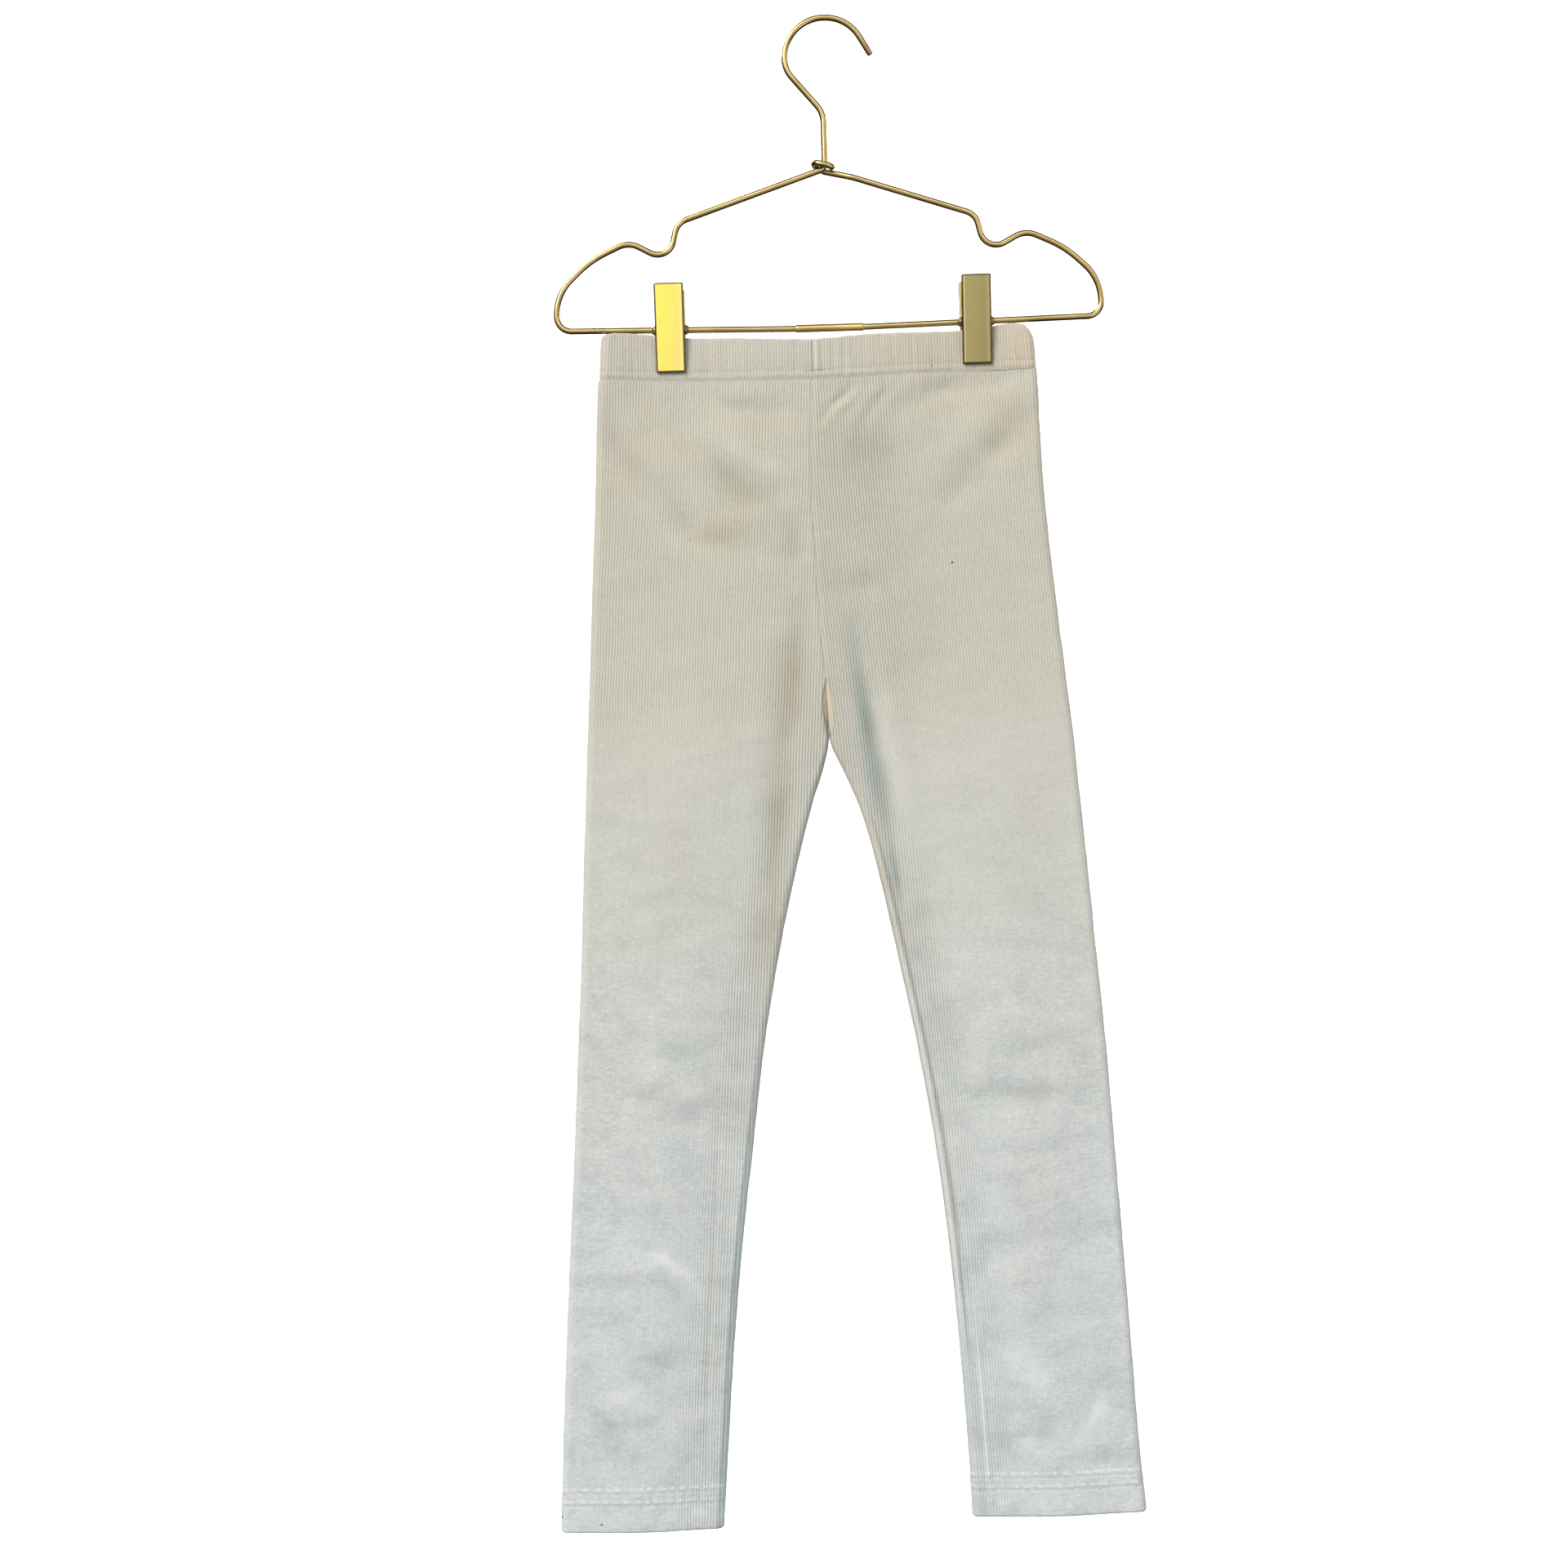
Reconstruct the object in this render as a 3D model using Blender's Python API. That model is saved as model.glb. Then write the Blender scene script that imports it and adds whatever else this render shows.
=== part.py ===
"""Child's rib-knit leggings hung flat from a brass wire hanger by two spring clips.

Frame: metres, +Z up, the front of the garment faces -Y, left and right as seen from the front.
The origin is the underside of the hook's crown, where a rail or a peg carries the hanger.
Tables and sizes below are in millimetres. "drop" is the distance below the origin.
"""

import math

import bmesh
import bpy
import numpy as np
from mathutils import Matrix

MM = 0.001

# Cloth: walls and seams
CLOTH_WALL = 1.5
CASING_WALL = 2.5
HEM_EXTRA = 1.0
HEM_DEPTH = 24.0
SEAM_GAP = 0.3

# Cloth: levels down the garment
WAIST_LEVEL = 208.0
CASING_TOP_LEVEL = 182.0
FRONT_FORK = 386.0
CROTCH = 422.0
LEFT_HEM = 884.6
RIGHT_HEM = 882.4

# Cloth: half of its depth from front to back
PINCHED_DEPTH = 1.4
WAIST_OPENING = 3.2
EDGE_DEPTH = 3.7
EDGE_REACH = 4.0
HIP_CROWN = 3.7
LEG_CROWN = 3.0
PINCH_MARGIN = 1.0
PINCH_FADE = 24.0
WAIST_FADE_START = 205.0
WAIST_FADE_END = 268.0
LEG_CROWN_START = 345.0
LEG_CROWN_END = 450.0

# Cloth: how seams and folds blend into the panels
TURN_LENGTH = 10.0
SEAM_SHAPE_END = 258.0
HEM_STEP = 2.0
FOLD_FADE_SHARE = 0.15
CASING_ROUNDING = 0.5
CASING_ROUNDING_POWER = 8

# Grid over a leg panel
PANEL_COLUMNS = 26
CASING_COLUMNS = 56
BEND_SPREAD = 36.0

# Hanger
WIRE_DIAMETER = 3.2
HANGER_AXIS = -2.6
BEND_STEP = math.radians(15.0)
SLEEVE_LENGTH = 40.0
SLEEVE_OUTER = 4.5
SLEEVE_INNER = 3.8
SLEEVE_RIM = 0.2
BAR_LEVEL = 180.7

# Clips
CLIP_PLACES = {"left": -96.2, "right": 83.4}
PLATE_WIDTH = 17.2
PLATE_HEIGHT = 52.4
PLATE_THICKNESS = 1.8
PLATE_CHAMFER = 0.7
JAW_BOTTOM_CENTRE = 3.9
JAW_TOP_CENTRE = 9.3
CLIP_BORE_RADIUS = 2.1
EAR_RADIUS = 3.0
EAR_THICKNESS = 1.2
EAR_TOP = 8.0
SPRING_RADIUS = 3.2
SPRING_HALF_LENGTH = 5.4
SPRING_TURNS = 5
SPRING_GROOVE = 0.5
BORE_SIDES = 16
BORE_LENGTH = 40.0

# Outer edges of the cloth from the front: X at each drop
OUTER_EDGES = {
    "drop": (181, 208, 242, 276, 324, 352, 386, 422, 460, 500, 545, 600, 660, 720, 780, 840, 886),
    "left": (
        -136.4, -139.4, -141.5, -143.2, -146.2, -147.9, -149.8, -152.2, -154.4,
        -156.9, -159.2, -162.9, -166.8, -171.2, -175.3, -178.9, -181.0,
    ),
    "right": (
        116.0, 118.4, 119.2, 120.4, 124.0, 126.6, 129.9, 133.5, 136.4,
        139.6, 142.8, 147.0, 150.4, 153.7, 156.9, 159.9, 163.2,
    ),
}

# Centre seam, front and back, down to the crotch
CENTRE_SEAM = {
    "drop": (181, 208, 242, 276, 324, 352, 386, 422),
    "x": (-11.5, -13.6, -15.3, -16.2, -14.9, -13.8, -11.6, -9.8),
}

# Inner edges of the legs below the crotch
INNER_EDGES = {
    "drop": (422, 428, 436, 460, 500, 545, 600, 660, 720, 780, 840, 886),
    "left": (-9.8, -10.8, -12.8, -20.8, -31.9, -42.4, -53.0, -61.5, -69.8, -76.4, -81.6, -85.6),
    "right": (-9.8, -8.2, -4.7, 5.6, 16.3, 25.4, 35.8, 45.0, 51.5, 55.9, 59.2, 60.9),
}

# Top edge of the casing: it hangs from the clips, sags between them and turns down at the right end.
CASING_TOP = {
    "x": (-137, -112, -104, -89, -58, -34, -15, 18, 55, 72, 83, 92.5, 100, 107, 112, 116),
    "drop": (
        181.3, 181.8, 182.9, 184.4, 186.0, 187.2, 187.9, 186.0, 185.4, 185.0,
        184.0, 182.9, 181.8, 181.5, 182.8, 186.4,
    ),
}

# Seam between the casing and the panels
WAIST_SEAM = {
    "x": (-140, -107, -78, -18, 18, 42, 75, 119),
    "drop": (207.8, 209.2, 210.4, 211.5, 210.9, 209.8, 209.2, 208.5),
}

# The crotch seam runs from the front fork down and back to the crotch. At each drop these give how far
# the cloth turns in beside the seam, and how far back the seam lies, from -1 at the front to 1 at the back.
FRONT_TURN = {
    "drop": (386, 392, 400, 408, 415, 422, 432, 450),
    "reach": (0.0, 1.6, 3.2, 4.2, 3.0, 1.6, 2.4, 4.0),
    "back": (-1.0, -0.75, -0.4, 0.0, 0.35, 0.6, 0.4, 0.0),
}
BACK_TURN = {
    "drop": (408, 415, 422, 432, 450),
    "reach": (0.0, 0.8, 1.6, 2.4, 4.0),
    "back": (1.0, 0.85, 0.6, 0.4, 0.0),
}

# Largest folds: a soft trough from one point to another, or a ridge where the depth is negative.
# Columns: x, drop, x, drop, half width, depth.
FRONT_FOLDS = (
    (-137.0, 227.0, -84.0, 303.0, 11.0, 1.5),
    (-98.0, 226.0, -40.0, 284.0, 10.0, 1.3),
    (-75.0, 223.0, -26.0, 230.0, 8.0, 0.8),
    (34.0, 229.0, 110.0, 212.0, 8.0, 0.8),
    (116.0, 234.0, 68.0, 280.0, 11.0, 1.4),
    (-12.0, 257.0, 45.0, 255.0, 13.0, 0.9),
    (-27.0, 362.0, -43.0, 495.0, 12.0, 1.4),
    (9.0, 375.0, 28.0, 505.0, 9.0, 1.6),
    (-138.0, 624.0, -90.0, 644.0, 12.0, 1.1),
    (66.0, 632.0, 118.0, 634.0, 12.0, 1.1),
    (-136.0, 725.0, -93.0, 749.0, 10.0, -1.0),
    (64.0, 738.0, 144.0, 717.0, 11.0, 1.0),
    (-158.0, 814.0, -130.0, 839.0, 12.0, 1.0),
)
BACK_FOLDS = (
    (-134.0, 232.0, -76.0, 290.0, 12.0, 1.4),
    (-60.0, 224.0, -20.0, 252.0, 9.0, 0.9),
    (112.0, 228.0, 55.0, 300.0, 12.0, 1.5),
    (30.0, 226.0, 4.0, 262.0, 9.0, 0.9),
    (-24.0, 372.0, -58.0, 440.0, 12.0, 1.5),
    (4.0, 372.0, 40.0, 436.0, 12.0, 1.5),
    (-140.0, 618.0, -84.0, 606.0, 12.0, 1.1),
    (56.0, 604.0, 120.0, 622.0, 12.0, 1.1),
    (-150.0, 742.0, -96.0, 726.0, 11.0, 1.0),
    (70.0, 752.0, 140.0, 738.0, 11.0, 0.9),
)

# Hook and neck of the left wire, from the tip: x, drop, bend radius at the centre line
HOOK_CORNERS = (
    (26.3, 21.0, 0.0),
    (12.9, -1.6, 23.4),
    (-24.4, -1.6, 23.4),
    (-24.4, 28.3, 16.0),
    (-2.6, 54.3, 16.0),
    (-2.6, 87.1, 5.0),
)

# One side of the hanger: distance from its axis, drop, bend radius at the centre line
SHOULDER_CORNERS = (
    (87.2, 117.1, 4.5),
    (93.7, 138.0, 6.5),
    (116.6, 127.4, 8.5),
    (139.6, 137.3, 60.0),
    (160.0, 156.6, 29.0),
    (160.0, 178.2, 8.5),
    (24.0, BAR_LEVEL, 40.0),
    (1.0, BAR_LEVEL, 0.0),
)

# The right wire's turn round the stem: angle in degrees, drop
WRAP_LEVELS = {
    "angle": (20, 90, 170, 225, 275),
    "drop": (87.2, 85.6, 84.2, 85.6, 88.0),
}
WRAP_CENTRE = -3.2
WRAP_ACROSS = 5.6
WRAP_DEEP = 3.55
WRAP_EXIT = (13.4, 92.7)
WRAP_EXIT_RADIUS = 20.0


def clear_scene():
    for old in list(bpy.data.objects):
        bpy.data.objects.remove(old, do_unlink=True)


def finish(name, colour, roughness, metallic):
    """A plain Principled material."""
    material = bpy.data.materials.new(name)
    material.use_nodes = True
    shader = material.node_tree.nodes["Principled BSDF"]
    shader.inputs["Base Color"].default_value = (*colour, 1.0)
    shader.inputs["Roughness"].default_value = roughness
    shader.inputs["Metallic"].default_value = metallic
    return material


def smooth(table_at, table_value, at):
    """A smooth curve through a table: cubic pieces with slopes taken from the neighbouring points."""
    known = np.asarray(table_at, dtype=float)
    value = np.asarray(table_value, dtype=float)
    slope = np.gradient(value, known)
    at = np.clip(at, known[0], known[-1])
    left = np.clip(np.searchsorted(known, at) - 1, 0, len(known) - 2)
    span = known[left + 1] - known[left]
    t = (at - known[left]) / span
    rise = value[left + 1] - value[left]
    start = slope[left] * span
    end = slope[left + 1] * span
    return value[left] + t * (start + t * (3 * rise - 2 * start - end + t * (start + end - 2 * rise)))


def ease(at, start, end):
    """0 before start, 1 after end and a soft S between them."""
    t = np.clip((at - start) / (end - start), 0.0, 1.0)
    return t * t * (3.0 - 2.0 * t)


def waist_half_depth(x):
    """Half the casing's depth: pinched flat under each clip's plate, open elsewhere."""
    open_share = 1.0
    for place in CLIP_PLACES.values():
        beside = np.maximum(np.abs(x - place) - PLATE_WIDTH / 2 - PINCH_MARGIN, 0.0)
        open_share = open_share * (1.0 - np.exp(-((beside / PINCH_FADE) ** 2)))
    return PINCHED_DEPTH + WAIST_OPENING * open_share


def half_depth(x, drop, seam, outer):
    """Half the cloth's depth: a crown across both hips that becomes one crown on each leg."""
    across = np.clip((x - seam) / (outer - seam), 0.0, 1.0)
    on_leg = ease(drop, LEG_CROWN_START, LEG_CROWN_END)
    hip = HIP_CROWN * np.cos(across * math.pi / 2) ** 2
    leg = LEG_CROWN * np.sin(across * math.pi) ** 2
    body = EDGE_DEPTH + (1.0 - on_leg) * hip + on_leg * leg
    below_waist = ease(drop, WAIST_FADE_START, WAIST_FADE_END)
    return waist_half_depth(x) * (1.0 - below_waist) + body * below_waist


def fold_depth(x, drop, folds):
    """Sum of the folds: each is a soft trough along a segment that fades past the segment's ends."""
    total = np.zeros(np.broadcast(x, drop).shape)
    for x0, drop0, x1, drop1, width, depth in folds:
        along_x = x1 - x0
        along_drop = drop1 - drop0
        length_squared = along_x**2 + along_drop**2
        t = ((x - x0) * along_x + (drop - drop0) * along_drop) / length_squared
        near = np.clip(t, FOLD_FADE_SHARE, 1.0 - FOLD_FADE_SHARE)
        away = (x - x0 - near * along_x) ** 2 + (drop - drop0 - near * along_drop) ** 2
        total = total + depth * np.exp(-away / width**2)
    return total


def spread_along(x, y, columns, *others):
    """Each row's curve read again at even steps, closer together where the curve bends."""
    step_x = np.diff(x, axis=1)
    step_y = np.diff(y, axis=1)
    length = np.hypot(step_x, step_y)
    heading = np.arctan2(step_y, step_x)
    turn = np.abs((np.diff(heading, axis=1) + math.pi) % (2 * math.pi) - math.pi)
    turn = np.pad(turn, ((0, 0), (1, 1)))
    turn = (turn[:, 1:] + turn[:, :-1]) / 2
    measure = np.cumsum(length + np.sqrt(BEND_SPREAD * length * turn), axis=1)
    measure = np.pad(measure, ((0, 0), (1, 0)))
    share = np.linspace(0.0, 1.0, columns + 1)
    read = []
    for curve in (x, y, *others):
        rows = [np.interp(share * row[-1], row, value) for row, value in zip(measure, curve)]
        read.append(np.array(rows))
    return read


def panel_section(side, drops):
    """The panel's middle line at each drop, from the front seam round the outer edge to the back seam.

    side is -1 on the left and 1 on the right. Distances are measured outwards from the hanging
    garment's middle, so that both legs share one construction.
    """
    name = "left" if side < 0 else "right"
    drop = np.asarray(drops, dtype=float)[:, None]
    seam_x = smooth(CENTRE_SEAM["drop"], CENTRE_SEAM["x"], drop)
    inseam_x = smooth(INNER_EDGES["drop"], INNER_EDGES[name], drop)
    near_inner = side * np.where(drop > CROTCH, inseam_x, seam_x)
    outer = side * smooth(OUTER_EDGES["drop"], OUTER_EDGES[name], drop) - CLOTH_WALL / 2
    turned = ease(drop, FRONT_FORK, FRONT_FORK + TURN_LENGTH)
    seam = near_inner + SEAM_GAP / 2 + turned * CLOTH_WALL / 2
    seam = np.where(drop > CROTCH, near_inner + CLOTH_WALL / 2 + SEAM_GAP / 2, seam)
    front_reach = np.interp(drop, FRONT_TURN["drop"], FRONT_TURN["reach"])
    front_seam = np.interp(drop, FRONT_TURN["drop"], FRONT_TURN["back"])
    back_reach = np.interp(drop, BACK_TURN["drop"], BACK_TURN["reach"])
    back_seam = np.interp(drop, BACK_TURN["drop"], BACK_TURN["back"])

    quarter = np.linspace(0.0, math.pi / 2, 13)
    half = np.linspace(-math.pi / 2, math.pi / 2, 33)
    flat = np.linspace(0.0, 1.0, 60)[1:-1]
    front_start = seam + front_reach
    back_start = seam + back_reach
    edge = outer - EDGE_REACH
    reach_parts = (
        front_start - front_reach * np.cos(quarter),
        front_start + (edge - front_start) * flat,
        edge + EDGE_REACH * np.cos(half),
        edge + (back_start - edge) * flat,
        back_start - back_reach * np.cos(quarter[::-1]),
    )
    level = np.ones_like(flat)
    face_parts = (
        front_seam - (1.0 + front_seam) * np.sin(quarter),
        -level * np.ones_like(drop),
        np.sin(half) * np.ones_like(drop),
        level * np.ones_like(drop),
        back_seam + (1.0 - back_seam) * np.sin(quarter[::-1]),
    )
    across = np.concatenate(reach_parts, axis=1)
    face = np.concatenate(face_parts, axis=1)
    depth = half_depth(side * across, drop, side * near_inner, side * outer)
    return across, face * depth, face, near_inner + SEAM_GAP / 2


def outward(x, y, closed_rows):
    """Unit vector square to each row's curve, pointing to its right as the curve runs."""
    along_x = np.gradient(x, axis=1)
    along_y = np.gradient(y, axis=1)
    wrap_x = x[:, 1] - x[:, -2]
    wrap_y = y[:, 1] - y[:, -2]
    for end in (0, -1):
        along_x[:, end] = np.where(closed_rows, wrap_x, along_x[:, end])
        along_y[:, end] = np.where(closed_rows, wrap_y, along_y[:, end])
    size = np.hypot(along_x, along_y)
    return along_y / size, -along_x / size


def seam_level(x):
    return smooth(WAIST_SEAM["x"], WAIST_SEAM["drop"], x)


def panel_rows(hem):
    """Levels of the panel's rows: close at the crotch and where the hem's fold ends inside."""
    stretches = (
        (WAIST_LEVEL, 250.0, 4),
        (250.0, 380.0, 9),
        (380.0, CROTCH, 7),
        (CROTCH, 452.0, 4),
        (452.0, hem - HEM_DEPTH - 3.0, 19),
        (hem - HEM_DEPTH - 3.0, hem - HEM_DEPTH, 1),
        (hem - HEM_DEPTH, hem, 2),
    )
    rows = [np.linspace(start, end, steps + 1)[:-1] for start, end, steps in stretches]
    return np.append(np.concatenate(rows), hem)


def panel_grids(side, hem):
    """Outer and inner grids of a leg panel, as arrays of x, y, z, and the row where its tube closes."""
    rows = panel_rows(hem)
    closed = rows >= CROTCH - 0.01
    across, y, face, innermost = panel_section(side, rows)
    across, y, face = spread_along(across, y, PANEL_COLUMNS, face)
    x = side * across
    drop = rows[:, None]
    folds = np.where(face < 0, fold_depth(x, drop, FRONT_FOLDS), fold_depth(x, drop, BACK_FOLDS))
    room = np.maximum(np.abs(y) - CLOTH_WALL / 2 - SEAM_GAP, 0.0)
    y = y - np.sign(face) * np.minimum(folds * face**2, room)

    square_across, square_y = outward(across, y, closed)
    hem_extra = HEM_EXTRA * ease(rows, hem - HEM_DEPTH - HEM_STEP, hem - HEM_DEPTH)[:, None]
    lifted = (seam_level(x) + SEAM_GAP / 2 - WAIST_LEVEL) * (1.0 - ease(drop, WAIST_LEVEL, SEAM_SHAPE_END))
    z = -(drop + lifted)
    grids = []
    for offset in (CLOTH_WALL / 2, -CLOTH_WALL / 2 - hem_extra):
        grid_across = np.maximum(across + square_across * offset, innermost)
        grids.append(np.stack([side * grid_across, y + square_y * offset, z], axis=2))
    return grids[0], grids[1], int(np.argmax(closed))


def casing_grids():
    """Outer and inner grids of the elastic casing: a flat ring pinched under the clips."""
    share = np.array([0.0, 0.06, 0.35, 0.65, 0.94, 1.0])[:, None]
    level = CASING_TOP_LEVEL + share * (WAIST_LEVEL - CASING_TOP_LEVEL)
    left = smooth(OUTER_EDGES["drop"], OUTER_EDGES["left"], level) + CASING_WALL / 2
    right = smooth(OUTER_EDGES["drop"], OUTER_EDGES["right"], level) - CASING_WALL / 2
    half = np.linspace(-math.pi / 2, math.pi / 2, 33)
    flat = np.linspace(0.0, 1.0, 121)
    left_edge = left + EDGE_REACH
    right_edge = right - EDGE_REACH
    ones = np.ones_like(level)
    x = np.concatenate(
        (
            left_edge + (right_edge - left_edge) * flat[60:-1],
            right_edge + EDGE_REACH * np.cos(half),
            right_edge + (left_edge - right_edge) * flat[1:-1],
            left_edge - EDGE_REACH * np.cos(half),
            left_edge + (right_edge - left_edge) * flat[1:61],
        ),
        axis=1,
    )
    face = np.concatenate(
        (-np.ones(60), np.sin(half), np.ones(119), -np.sin(half), -np.ones(60))
    ) * ones
    y = face * waist_half_depth(x)
    x, y, face = spread_along(x, y, CASING_COLUMNS, face)
    square_x, square_y = outward(x, y, np.ones(len(share), dtype=bool))
    top = smooth(CASING_TOP["x"], CASING_TOP["drop"], x)
    bottom = seam_level(x) - SEAM_GAP / 2
    near_edge = 1.0 - 2.0 * np.minimum(share, 1.0 - share)
    rounded = CASING_ROUNDING * near_edge**CASING_ROUNDING_POWER
    z = -(top + share * (bottom - top))
    grids = []
    for offset in (1.0, -1.0):
        reach = offset * (CASING_WALL / 2 - rounded)
        grids.append(np.stack([x + square_x * reach, y + square_y * reach, z], axis=2))
    return grids[0], grids[1], 0


def wall_object(name, grids, material):
    """A closed wall between an outer and an inner grid, open at both ends of the tube they make.

    Rows above the closing row have two free side edges; from there down the sides are joined.
    """
    outer, inner, closing_row = grids
    rows, columns = outer.shape[:2]
    points = np.concatenate([outer.reshape(-1, 3), inner.reshape(-1, 3)]) * MM
    index = np.arange(rows * columns).reshape(rows, columns)
    inside = index + rows * columns
    faces = []
    for grid in (index, inside[:, ::-1]):
        quads = np.stack([grid[:-1, :-1], grid[1:, :-1], grid[1:, 1:], grid[:-1, 1:]], axis=2)
        faces.append(quads.reshape(-1, 4))
    for row in (0, -1):
        rim = [index[row, :-1], index[row, 1:], inside[row, 1:], inside[row, :-1]]
        faces.append(np.stack(rim, axis=1))
    for column in (0, -1):
        edge = slice(0, closing_row)
        below = slice(1, closing_row + 1)
        rim = [index[edge, column], index[below, column], inside[below, column], inside[edge, column]]
        faces.append(np.stack(rim, axis=1))
    mesh = bpy.data.meshes.new(name)
    mesh.from_pydata(points.tolist(), [], np.concatenate(faces).tolist())
    tidy = bmesh.new()
    tidy.from_mesh(mesh)
    bmesh.ops.remove_doubles(tidy, verts=tidy.verts, dist=0.00001)
    bmesh.ops.recalc_face_normals(tidy, faces=tidy.faces)
    tidy.to_mesh(mesh)
    tidy.free()
    return place(name, mesh, material)


def place(name, mesh, material):
    """Links a mesh as an object, with smooth faces and crisp edges past 40 degrees."""
    mesh.materials.clear()
    mesh.materials.append(material)
    mesh.shade_smooth()
    mesh.set_sharp_from_angle(angle=math.radians(40))
    made = bpy.data.objects.new(name, mesh)
    bpy.context.scene.collection.objects.link(made)
    return made


def bent_route(corners):
    """Points along a wire bent round corners, each given as x, y, drop and bend radius."""
    points = [np.array(corners[0][:3], dtype=float)]
    for before, corner, after in zip(corners, corners[1:], corners[2:]):
        here = np.array(corner[:3], dtype=float)
        back = np.array(before[:3]) - here
        ahead = np.array(after[:3]) - here
        back = back / np.linalg.norm(back)
        ahead = ahead / np.linalg.norm(ahead)
        turn = math.pi - math.acos(float(np.clip(back @ ahead, -1.0, 1.0)))
        radius = corner[3]
        start = here + back * radius * math.tan(turn / 2)
        to_centre = (back + ahead) / np.linalg.norm(back + ahead)
        centre = here + to_centre * radius / math.cos(turn / 2)
        across = (start - centre) / radius
        steps = max(2, math.ceil(turn / BEND_STEP))
        for step in range(steps + 1):
            angle = turn * step / steps
            points.append(centre + radius * (across * math.cos(angle) - back * math.sin(angle)))
    points.append(np.array(corners[-1][:3], dtype=float))
    return points


def wire_object(name, route, material):
    """A round wire along a route of x, y, drop."""
    curve = bpy.data.curves.new(name, "CURVE")
    curve.dimensions = "3D"
    curve.bevel_depth = WIRE_DIAMETER / 2 * MM
    curve.bevel_resolution = 3
    curve.use_fill_caps = True
    spline = curve.splines.new("POLY")
    spline.points.add(len(route) - 1)
    for point, (x, y, drop) in zip(spline.points, route):
        point.co = (x * MM, y * MM, -drop * MM, 1.0)
    curve.materials.append(material)
    made = bpy.data.objects.new(name, curve)
    bpy.context.scene.collection.objects.link(made)
    return made


def shoulder(side):
    """Corners of one side of the hanger in the plane of the hook."""
    return [(HANGER_AXIS + side * out, 0.0, drop, radius) for out, drop, radius in SHOULDER_CORNERS]


def left_wire_route():
    hook = [(x, 0.0, drop, radius) for x, drop, radius in HOOK_CORNERS]
    return bent_route(hook + shoulder(-1))


def right_wire_route():
    """The wire's cut end, one turn round the stem, then the right side."""
    wrap = []
    for angle in np.linspace(WRAP_LEVELS["angle"][0], WRAP_LEVELS["angle"][-1], 19):
        x = WRAP_CENTRE + WRAP_ACROSS * math.cos(math.radians(angle))
        y = -WRAP_DEEP * math.sin(math.radians(angle))
        drop = float(smooth(WRAP_LEVELS["angle"], WRAP_LEVELS["drop"], angle))
        wrap.append((x, y, drop))
    leaving = (*wrap[-1], 0.0)
    joined = (WRAP_EXIT[0], 0.0, WRAP_EXIT[1], WRAP_EXIT_RADIUS)
    return wrap[:-1] + bent_route([leaving, joined] + shoulder(1))


def turned_object(name, profile, sides, centre, material):
    """A ring turned about an axis along X: the profile lists x and radius round its section."""
    angles = np.linspace(0.0, 2 * math.pi, sides, endpoint=False)
    along, radius = np.array(profile, dtype=float).T
    x = centre[0] + along[:, None] + 0.0 * angles
    y = centre[1] + radius[:, None] * np.cos(angles)
    z = centre[2] + radius[:, None] * np.sin(angles)
    points = np.stack([x, y, z], axis=2).reshape(-1, 3) * MM
    index = np.arange(len(profile) * sides).reshape(len(profile), sides)
    ahead = np.roll(index, -1, axis=0)
    quads = np.stack([index, ahead, np.roll(ahead, -1, axis=1), np.roll(index, -1, axis=1)], axis=2)
    mesh = bpy.data.meshes.new(name)
    mesh.from_pydata(points.tolist(), [], quads.reshape(-1, 4).tolist())
    tidy = bmesh.new()
    tidy.from_mesh(mesh)
    bmesh.ops.recalc_face_normals(tidy, faces=tidy.faces)
    tidy.to_mesh(mesh)
    tidy.free()
    return place(name, mesh, material)


def sleeve_object(material):
    half = SLEEVE_LENGTH / 2
    outer = SLEEVE_OUTER / 2
    inner = SLEEVE_INNER / 2
    short = half - SLEEVE_RIM
    narrow = outer - SLEEVE_RIM
    profile = (
        (-half, inner), (half, inner), (half, narrow),
        (short, outer), (-short, outer), (-half, narrow),
    )
    return turned_object("bar_sleeve", profile, 14, (HANGER_AXIS, 0.0, -BAR_LEVEL), material)


def spring_object(side_name, centre, material):
    """The clip's coil spring, closed up: one rounded ridge for each turn."""
    steps = SPRING_TURNS * 2
    profile = [(-SPRING_HALF_LENGTH, CLIP_BORE_RADIUS), (SPRING_HALF_LENGTH, CLIP_BORE_RADIUS)]
    for step in range(steps + 1):
        along = SPRING_HALF_LENGTH * (1.0 - 2.0 * step / steps)
        groove = SPRING_GROOVE if step % 2 == 0 else 0.0
        profile.append((along, SPRING_RADIUS - groove))
    return turned_object(f"clip_{side_name}_spring", profile, BORE_SIDES, centre, material)


def helper(name, work):
    """A hidden shape that cuts or joins another."""
    mesh = bpy.data.meshes.new(name)
    work.to_mesh(mesh)
    work.free()
    made = bpy.data.objects.new(name, mesh)
    made.hide_render = True
    made.display_type = "WIRE"
    bpy.context.scene.collection.objects.link(made)
    return made


def jaw_plate(facing):
    """The jaw's plate: it leans away from the cloth above the grip. facing is -1 in front, 1 behind."""
    work = bmesh.new()
    bmesh.ops.create_cube(work, size=MM)
    bmesh.ops.scale(work, vec=(PLATE_WIDTH, PLATE_THICKNESS, PLATE_HEIGHT), verts=work.verts)
    bmesh.ops.bevel(
        work, geom=work.edges[:], offset=PLATE_CHAMFER * MM, offset_type="OFFSET",
        segments=1, profile=0.5, affect="EDGES",
    )
    lean = (JAW_TOP_CENTRE - JAW_BOTTOM_CENTRE) / PLATE_HEIGHT
    middle = (JAW_TOP_CENTRE + JAW_BOTTOM_CENTRE) / 2
    for vertex in work.verts:
        vertex.co.y += facing * (middle * MM + lean * vertex.co.z)
    return work


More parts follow.
